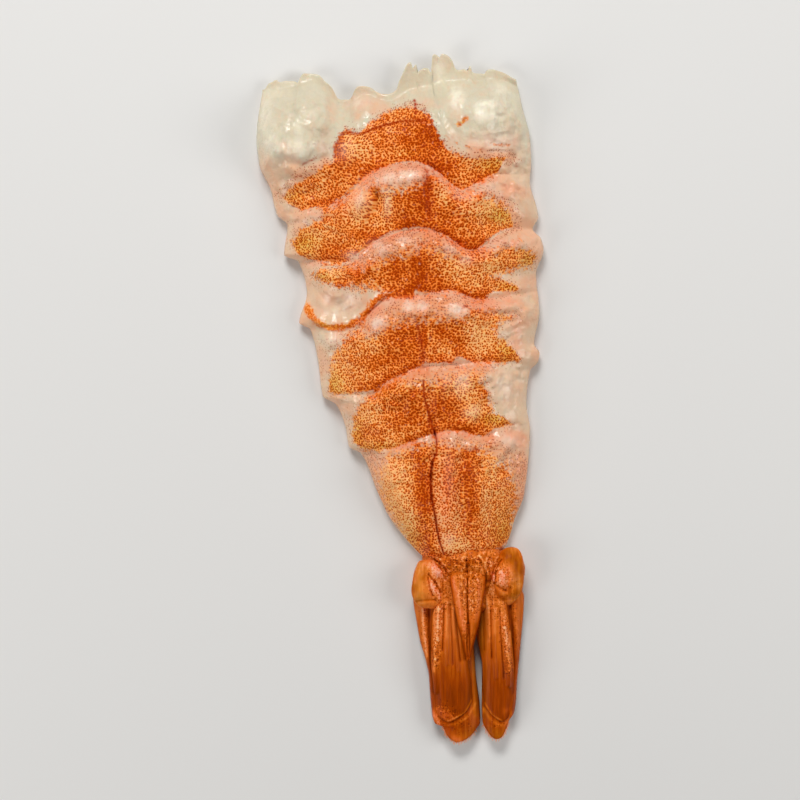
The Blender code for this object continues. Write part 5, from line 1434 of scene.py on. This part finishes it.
# Each fringe: the bed of its blade, the middle of the tip, and the rim that the hairs stand on.
FRINGES = {
    "fan_fringe_left": (LEFT_BED, (8.2, -44.0), [
        (6.15, -47.2), (6.75, -48.4), (7.5, -49.1), (8.2, -49.38), (9.0, -49.2), (10.0, -48.7),
        (11.0, -47.6)]),
    "fan_fringe_right": (RIGHT_BED, (14.0, -44.0), [
        (12.1, -46.9), (12.5, -47.7), (13.2, -48.6), (13.9, -48.88), (14.7, -48.6), (15.15, -47.8),
        (15.7, -46.4)]),
}
random_hair = np.random.default_rng(5)
for name, (bed, centre, rim) in FRINGES.items():
    hairs = bmesh.new()
    for (ax, ay), (bx, by) in zip(rim, rim[1:]):
        for step in np.arange(0, 1, 1 / (HAIRS_A_MM * math.hypot(bx - ax, by - ay))):
            x, y = ax + (bx - ax) * step, ay + (by - ay) * step
            outwards = Vector((x - centre[0], y - centre[1], 0)).normalized()
            outwards.x += random_hair.uniform(-HAIR_SPREAD, HAIR_SPREAD)
            outwards.z = random_hair.uniform(*HAIR_RISE)
            outwards.normalize()
            length = random_hair.uniform(*HAIR_LENGTH)
            foot = bed_height(bed, np.array([x]), np.array([y]))[0] + OUTER_RIM
            middle = Vector((x, y, foot)) + outwards * (length / 2 - HAIR_SUNK)
            turned = outwards.to_track_quat("Z", "Y").to_matrix().to_4x4()
            turned.translation = middle * MM
            bmesh.ops.create_cone(
                hairs, cap_ends=True, segments=HAIR_SIDES, radius1=HAIR_RADIUS * MM,
                radius2=HAIR_TIP * HAIR_RADIUS * MM, depth=length * MM, matrix=turned)
    fringe = made_of(name, hairs)
    paint_shell(fringe, FRINGE_BROWN, pale=FRINGE_PALE, pink=FRINGE_PINK)
    fringe.data.materials.append(cooked_shell)
    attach(fringe, "root")

# The middle plate of the tail: a long pointed roof of shell with a furrow down its back and a ridge on each
# side of it. It is two sheets, and lies over the roots of the inner blades.
PLATE_MIDDLE = [(-23.6, 9.7), (-28.6, 9.75), (-37.4, 9.8)]
PLATE_HALF_WIDTH = [(-23.6, 2.5), (-25.5, 2.6), (-28.6, 2.2), (-31.7, 1.65), (-33.8, 1.15), (-37.4, 0.25)]
PLATE_TOP = [(-37.4, 4.5), (-31.0, 5.0), (-26.0, 5.1), (-23.6, 4.5)]
PLATE_THICK = 0.6
PLATE_FURROW = 0.4
PLATE_FURROW_HALF_WIDTH = 0.25
PLATE_EAVES = 0.95
PLATE_RIM = 0.5
PLATE_RIM_THICK = 0.14
PLATE_WAVER = 0.08
PLATE_WAVER_SIZE = 0.6
PLATE_DRAWN_OUT = 0.5
PLATE_COLUMNS = 52
PLATE_ROWS = 140
PLATE_RELIEF = [
    (-0.4, 0.13, [(9.7, -24.0), (9.6, -28.0), (9.75, -32.0)]),
    (-0.25, 0.1, [(9.6, -32.0), (9.55, -35.0), (9.7, -36.8)]),
    (-0.25, 0.1, [(9.85, -32.0), (10.0, -35.0), (9.95, -36.8)]),
    (0.35, 0.35, [(7.6, -25.4), (8.2, -28.0), (8.9, -31.0), (9.2, -33.4)]),
    (0.25, 0.35, [(11.2, -25.6), (11.2, -28.0), (10.8, -31.0), (10.4, -33.4)]),
    (-0.2, 0.14, [(8.6, -25.4), (8.8, -28.0), (9.3, -31.0)]),
    (-0.2, 0.14, [(10.5, -25.6), (10.4, -28.0), (10.2, -31.0)]),
]
PLATE_BROWN = [(-37.4, 0.6), (-32.0, 0.32), (-28.0, 0.14), (-24.0, 0.28)]
PLATE_DARK = [
    (0.9, 0.12, [(9.7, -24.0), (9.6, -28.0), (9.75, -32.0)]),
    (0.8, 0.1, [(9.6, -32.0), (9.55, -35.0), (9.7, -36.8)]),
    (0.8, 0.1, [(9.85, -32.0), (10.0, -35.0), (9.95, -36.8)]),
    (0.6, 0.2, [(7.1, -25.4), (7.6, -29.0), (8.2, -32.0), (9.4, -36.8)]),
    (0.6, 0.2, [(12.3, -25.4), (11.9, -29.0), (11.3, -32.0), (10.1, -36.8)]),
    (0.35, 0.6, [(7.6, -24.0), (12.0, -24.2)]),
]
# The pink of the two ridges, partly painted highlight.
PLATE_PINK = [
    (0.75, 0.38, [(7.5, -25.6), (8.2, -28.0), (8.8, -31.0), (9.2, -33.0)]),
    (0.5, 0.3, [(11.1, -25.7), (11.3, -28.0), (10.8, -31.6)]),
]
PLATE_CRINKLED = [
    (0.7, 1.3, [(9.0, -25.0), (9.4, -29.0)]), (0.8, 0.9, [(10.8, -25.0), (10.6, -30.0)]),
    (0.5, 0.6, [(9.2, -31.0), (9.4, -34.0)]),
]


def plate_sheet(upper):
    """What places the corners of one sheet of the middle plate."""

    def place(across, along):
        root, tip = PLATE_MIDDLE[0][0], PLATE_MIDDLE[-1][0]
        side = 2 * across - 1
        y = root + (tip - root) * along
        half = through(PLATE_HALF_WIDTH, y)
        x = through(PLATE_MIDDLE, y) + side * half
        body = rounded(np.minimum.reduce([half * (1 - np.abs(side)), y - tip, root - y]), PLATE_RIM)
        fall = PLATE_EAVES * side * side + PLATE_FURROW * bell(side, PLATE_FURROW_HALF_WIDTH)
        rim = through(PLATE_TOP, y) - fall - PLATE_THICK + PLATE_RIM_THICK
        if not upper:
            return x, y, rim - PLATE_RIM_THICK * body
        waver = PLATE_WAVER * uneven(x, y * PLATE_DRAWN_OUT, PLATE_WAVER_SIZE, 2)
        relief = add_lines(x, y, PLATE_RELIEF) + waver
        return x, y, rim + (PLATE_THICK - PLATE_RIM_THICK + relief) * body

    return place


plate = two_sheets("fan_middle_plate", PLATE_COLUMNS, PLATE_ROWS, plate_sheet(True), plate_sheet(False))
paint_shell(plate, PLATE_BROWN, dark=PLATE_DARK, pink=PLATE_PINK, crinkled=PLATE_CRINKLED)
plate.data.materials.append(cooked_shell)
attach(plate, "root")
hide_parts("tail_middle_plate")

# The joint knobs, one at the root of each pair of blades: a blunt bean of shell, smooth on the outside and
# folded into ridges on the inside. Each is a sphere drawn out to the size of its solid.
KNOB_HEIGHT = 2.35
KNOB_FLAT = 0.15
KNOB_POWER = 0.85
KNOB_LUMPS = 1.8
KNOB_LUMP_RISE = 0.09
KNOB_WRINKLES = [(0.9, 0.16), (2.2, 0.3)]
# Ribs and wrinkles rise in full this far above the middle of the knob, and not at all below it.
KNOB_RELIEF = (0.2, 1.2)
KNOB_SECTORS = 96
KNOB_RINGS = 64
KNOB_BROWN = [(-30.0, 0.05), (-22.0, 0.0)]
# Each knob: its place, its radii, its turn in degrees, a bulge as (x, y, radius, how far out), its ribs and
# furrows as (height, half width, line), and what is painted on it, as on the blades. Pale and pink lines on
# its ridges and shoulders are painted highlights; the others are the shell's own colour.
KNOBS = {
    "tail_knob_left": dict(
        place=(4.2, -26.45), radii=(2.3, 3.5, 2.3), turn=2.0, bulge=(2.4, -28.1, 1.5, -0.45),
        ribs=[
            (0.5, 0.7, [(4.8, -23.9), (5.7, -24.8)]),
            (-0.45, 0.16, [(4.1, -25.0), (5.0, -26.2), (5.8, -27.6), (6.0, -28.4)]),
            (0.45, 0.35, [(4.3, -26.4), (4.9, -27.4), (5.4, -28.6)]),
            (-0.35, 0.16, [(4.0, -25.4), (4.2, -26.6), (4.7, -28.0)]),
            (-0.15, 0.2, [(2.2, -28.9), (3.6, -28.7), (5.2, -28.6)]),
            (-0.4, 0.16, [(5.2, -23.6), (5.8, -24.2), (6.3, -25.2)])],
        dark=[
            (0.8, 0.13, [(4.1, -25.0), (5.0, -26.2), (5.8, -27.6), (6.0, -28.4)]),
            (0.6, 0.12, [(4.0, -25.4), (4.2, -26.6), (4.7, -28.0)]),
            (0.5, 0.15, [(2.2, -28.9), (3.6, -28.7), (5.2, -28.6)]), (0.5, 0.3, [(6.2, -26.4), (6.4, -28.0)]),
            (0.35, 0.3, [(3.6, -24.2), (3.2, -25.6)]), (0.4, 0.7, [(2.0, -24.8), (1.9, -27.2)])],
        pale=[
            (0.3, 0.7, [(2.9, -26.6), (2.8, -27.8)]), (0.5, 0.5, [(4.9, -24.2), (5.5, -24.8)]),
            (0.45, 0.35, [(4.4, -26.5), (5.4, -28.0)])],
        pink=[
            (1.0, 0.7, [(4.7, -23.9), (5.6, -24.9)]), (0.8, 0.45, [(4.4, -26.2), (5.0, -27.2), (5.7, -28.2)]),
            (0.8, 0.4, [(3.6, -23.6), (2.5, -24.8), (2.1, -26.0)])],
        crinkled=[(0.9, 0.9, [(4.8, -24.0), (5.8, -25.2)]), (0.9, 0.8, [(4.6, -26.2), (5.6, -28.2)])],
        yellow=[(0.65, 1.0, [(3.0, -24.2), (2.2, -26.4), (2.6, -28.6)])],
    ),
    "tail_knob_right": dict(
        place=(15.55, -25.35), radii=(2.25, 4.1, 2.3), turn=-8.0, bulge=(17.2, -27.0, 1.5, 0.2),
        ribs=[
            (0.5, 0.45, [(13.3, -22.9), (13.1, -24.2), (13.5, -25.8)]),
            (-0.4, 0.15, [(13.6, -26.3), (13.7, -24.8), (14.1, -23.6), (14.6, -22.9)]),
            (0.4, 0.55, [(14.5, -24.9), (14.7, -26.2)]), (-0.35, 0.16, [(13.8, -26.6), (15.0, -27.2)]),
            (-0.3, 0.2, [(15.3, -24.4), (15.4, -26.0), (15.2, -27.4)]),
            (-0.3, 0.2, [(13.8, -28.4), (15.4, -28.6), (17.0, -28.4)])],
        dark=[
            (0.8, 0.13, [(13.6, -26.3), (13.7, -24.8), (14.1, -23.6), (14.6, -22.9)]),
            (0.5, 0.15, [(13.8, -26.6), (15.0, -27.2)]), (0.5, 0.4, [(13.8, -27.4), (14.8, -28.6)]),
            (0.5, 0.3, [(12.6, -25.0), (13.0, -27.4)]),
            (0.6, 1.1, [(15.0, -22.2), (16.6, -22.8), (17.2, -24.6)]),
            (0.4, 0.9, [(15.8, -27.4), (17.0, -27.6)])],
        pale=[(0.1, 0.5, [(16.8, -25.0), (16.8, -26.6)]), (0.3, 0.35, [(14.5, -24.9), (14.7, -26.2)])],
        pink=[
            (1.0, 0.5, [(14.5, -24.7), (14.8, -26.4)]),
            (0.8, 0.4, [(13.4, -22.8), (13.1, -24.2), (13.4, -25.6)]),
            (0.35, 0.8, [(15.6, -23.8), (15.9, -25.2)])],
        crinkled=[(0.9, 0.8, [(13.4, -23.2), (13.4, -25.8)]), (0.8, 1.0, [(14.8, -24.4), (15.2, -26.6)])],
        yellow=[(0.6, 1.0, [(15.6, -21.8), (17.0, -23.6), (17.2, -26.0), (16.6, -28.2)])],
    ),
}
for node, knob in KNOBS.items():
    bean = bmesh.new()
    bmesh.ops.create_uvsphere(bean, u_segments=KNOB_SECTORS, v_segments=KNOB_RINGS, radius=1)
    unit = np.array([corner.co for corner in bean.verts])
    unlike = Vector((0, 0, knob["turn"]))
    lumps = np.array([noise.noise(Vector(point) * KNOB_LUMPS + unlike) for point in unit])
    blunt = np.sign(unit) * np.abs(unit) ** KNOB_POWER * knob["radii"] * (1 + KNOB_LUMP_RISE * lumps[:, None])
    across, along, up = blunt.T
    turn = math.radians(knob["turn"])
    x = knob["place"][0] + across * math.cos(turn) - along * math.sin(turn)
    y = knob["place"][1] + across * math.sin(turn) + along * math.cos(turn)
    bulge_x, bulge_y, bulge_size, bulge_out = knob["bulge"]
    x = x + bulge_out * bell(np.hypot(x - bulge_x, y - bulge_y), bulge_size)
    relief = ease(*KNOB_RELIEF, up) * (add_lines(x, y, knob["ribs"]) + add_wrinkles(x, y, KNOB_WRINKLES, 6))
    z = KNOB_HEIGHT + np.maximum(up, KNOB_FLAT - KNOB_HEIGHT) + relief
    for corner, point in zip(bean.verts, np.column_stack((x, y, z)) * MM):
        corner.co = point
    dressed = made_of(node.replace("tail", "fan"), bean)
    dressed.data.shade_smooth()
    paint_shell(dressed, KNOB_BROWN, *(knob[colour] for colour in SHELL_COLOURS))
    dressed.data.materials.append(cooked_shell)
    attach(dressed, "root")
    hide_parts(node)

# The skin of the tail joint: crumpled, darker membrane that comes out from under the end of the flesh and
# closes the spaces between the knobs, the middle plate and the roots of the blades.
JOINT_LEFT, JOINT_RIGHT = 3.2, 15.8
JOINT_FROM = [
    (3.2, -22.4), (5.0, -21.4), (7.0, -20.6), (9.5, -20.4), (12.6, -20.6), (14.4, -21.4), (15.8, -22.4),
]
JOINT_TO = [(3.2, -27.0), (5.5, -30.0), (9.5, -31.0), (13.4, -30.0), (15.8, -27.0)]
JOINT_TOP = [(3.2, 1.6), (5.0, 3.5), (7.0, 4.7), (9.6, 5.1), (12.2, 4.8), (14.2, 3.5), (15.8, 1.6)]
JOINT_FALL = [(-31.0, 1.9), (-27.0, 1.5), (-25.0, 0.6), (-23.2, 0.2), (-22.0, 0.7), (-20.4, 1.6)]
JOINT_THICK = 0.9
JOINT_RIM_THICK = 0.14
JOINT_LOWEST = 0.35
JOINT_RIM = 0.8
JOINT_CRUMPLE = 0.2
JOINT_CRUMPLE_SIZE = 0.6
JOINT_COLUMNS = 96
JOINT_ROWS = 80
JOINT_RELIEF = [
    (0.3, 0.5, [(7.9, -23.8), (8.6, -24.2)]), (0.35, 0.4, [(10.2, -23.4), (11.0, -24.2)]),
    (-0.4, 0.15, [(9.5, -22.6), (9.6, -24.8)]), (-0.4, 0.16, [(5.0, -22.9), (6.2, -23.9), (7.0, -25.2)]),
    (-0.4, 0.16, [(12.9, -22.6), (12.4, -24.4), (12.2, -26.4)]),
    (0.3, 0.25, [(5.4, -22.6), (6.6, -23.6), (7.2, -24.4)]),
    (0.4, 0.25, [(11.3, -22.2), (12.2, -23.6), (12.6, -25.0)]),
    (0.3, 0.2, [(10.6, -22.6), (11.6, -24.0), (12.0, -25.0)]),
    (-0.3, 0.12, [(7.0, -22.8), (8.4, -23.1), (9.6, -23.0)]),
    (-0.3, 0.12, [(9.8, -23.0), (11.0, -22.8), (12.2, -22.6)]),
]
JOINT_BROWN = [(-31.0, 0.6), (-25.0, 0.3), (-23.0, 0.15), (-20.0, 0.05)]
JOINT_DARK = [
    (0.5, 0.5, [(6.6, -23.2), (9.5, -23.4), (11.6, -23.0)]), (0.6, 0.15, [(9.5, -23.0), (9.6, -24.8)]),
    (0.5, 0.15, [(5.0, -22.9), (6.2, -23.9), (7.0, -25.2)]),
    (0.5, 0.15, [(12.9, -22.6), (12.4, -24.4), (12.2, -26.4)]),
]
# Pale lines on the raised folds of the joint's skin, partly painted highlights.
JOINT_PALE = [
    (0.5, 0.3, [(10.2, -23.6), (11.0, -24.2)]), (0.8, 0.14, [(11.3, -22.2), (12.2, -23.6), (12.6, -25.0)]),
    (0.6, 0.12, [(10.6, -22.6), (11.6, -24.0), (12.0, -25.0)]), (0.5, 0.14, [(5.4, -22.6), (6.6, -23.6)]),
]
JOINT_PINK = [(0.5, 0.4, [(6.4, -24.4), (6.8, -25.4)]), (0.4, 0.3, [(12.6, -22.8), (12.9, -24.0)])]
JOINT_CRINKLED = [(0.9, 2.0, [(5.0, -23.4), (14.0, -23.4)]), (0.6, 1.0, [(6.4, -26.0), (6.6, -28.0)])]


def joint_sheet(upper):
    """What places the corners of one sheet of the joint's skin."""

    def place(across, along):
        x = JOINT_LEFT + (JOINT_RIGHT - JOINT_LEFT) * across
        start, end = through(JOINT_FROM, x), through(JOINT_TO, x)
        y = start + (end - start) * along
        body = rounded(np.minimum.reduce([x - JOINT_LEFT, JOINT_RIGHT - x, start - y, y - end]), JOINT_RIM)
        rim = through(JOINT_TOP, x) - through(JOINT_FALL, y) - JOINT_THICK + JOINT_RIM_THICK
        rim = np.maximum(rim, JOINT_LOWEST)
        if not upper:
            return x, y, rim - JOINT_RIM_THICK * body
        relief = add_lines(x, y, JOINT_RELIEF) + JOINT_CRUMPLE * uneven(x, y, JOINT_CRUMPLE_SIZE, 4)
        return x, y, rim + (JOINT_THICK - JOINT_RIM_THICK + relief) * body

    return place


joint_skin = two_sheets("joint_skin", JOINT_COLUMNS, JOINT_ROWS, joint_sheet(True), joint_sheet(False))
paint_shell(joint_skin, JOINT_BROWN, JOINT_DARK, JOINT_PALE, JOINT_PINK, JOINT_CRINKLED)
joint_skin.data.materials.append(cooked_shell)
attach(joint_skin, "root")

# The stage, in metres: a wide sheet of pale paper for a table, a large soft light beyond the head end,
# weaker ones on the right and the left, a dim room, and the camera straight above, as in the photograph.
TABLE_HALF_WIDTH = 0.6
PAPER = (0.78, 0.77, 0.75)
PAPER_ROUGHNESS = 0.7
# Each light, aimed at the middle of the shrimp, as (place, width, height, power).
LIGHTS = {
    "head_light": ((-0.06, 0.30, 0.30), 0.2, 0.12, 1.2),
    "right_light": ((0.32, -0.02, 0.22), 0.2, 0.2, 0.58),
    "left_light": ((-0.30, -0.16, 0.20), 0.2, 0.2, 0.6),
}
ROOM_COLOUR = (1, 0.97, 0.93, 1)
ROOM_LIGHT = 0.1
LENS = 100
SENSOR = 36
FRAME_SHARE = 0.87
CAMERA_AIM_HEIGHT = 0.004


def plain_table():
    """A wide sheet of pale paper under the shrimp."""
    sheet = bmesh.new()
    bmesh.ops.create_grid(sheet, x_segments=1, y_segments=1, size=TABLE_HALF_WIDTH)
    table = made_of("table", sheet)
    material = bpy.data.materials.new("pale_table")
    material.use_nodes = True
    surface = material.node_tree.nodes["Principled BSDF"]
    surface.inputs["Base Color"].default_value = (*PAPER, 1)
    surface.inputs["Roughness"].default_value = PAPER_ROUGHNESS
    table.data.materials.append(material)
    return table


plain_table()
for name, (place, width, height, power) in LIGHTS.items():
    lamp = bpy.data.lights.new(name, "AREA")
    lamp.shape = "RECTANGLE"
    lamp.size, lamp.size_y = width, height
    lamp.energy = power
    light = bpy.data.objects.new(name, lamp)
    light.location = place
    light.rotation_euler = (-light.location).to_track_quat("-Z", "Y").to_euler()
    bpy.context.scene.collection.objects.link(light)

room = bpy.data.worlds.new("room")
bpy.context.scene.world = room
room.use_nodes = True
room.node_tree.nodes["Background"].inputs["Color"].default_value = ROOM_COLOUR
room.node_tree.nodes["Background"].inputs["Strength"].default_value = ROOM_LIGHT
bpy.context.scene.view_settings.view_transform = "Standard"

low, high = (np.array(corner) for corner in cad_box)
camera = bpy.data.objects.new("camera", bpy.data.cameras.new("camera"))
camera.data.lens = LENS
camera.data.sensor_width = SENSOR
distance = (high[1] - low[1]) / FRAME_SHARE * LENS / SENSOR
camera.location = ((low[0] + high[0]) / 2, (low[1] + high[1]) / 2, CAMERA_AIM_HEIGHT + distance)
bpy.context.scene.collection.objects.link(camera)
bpy.context.scene.camera = camera
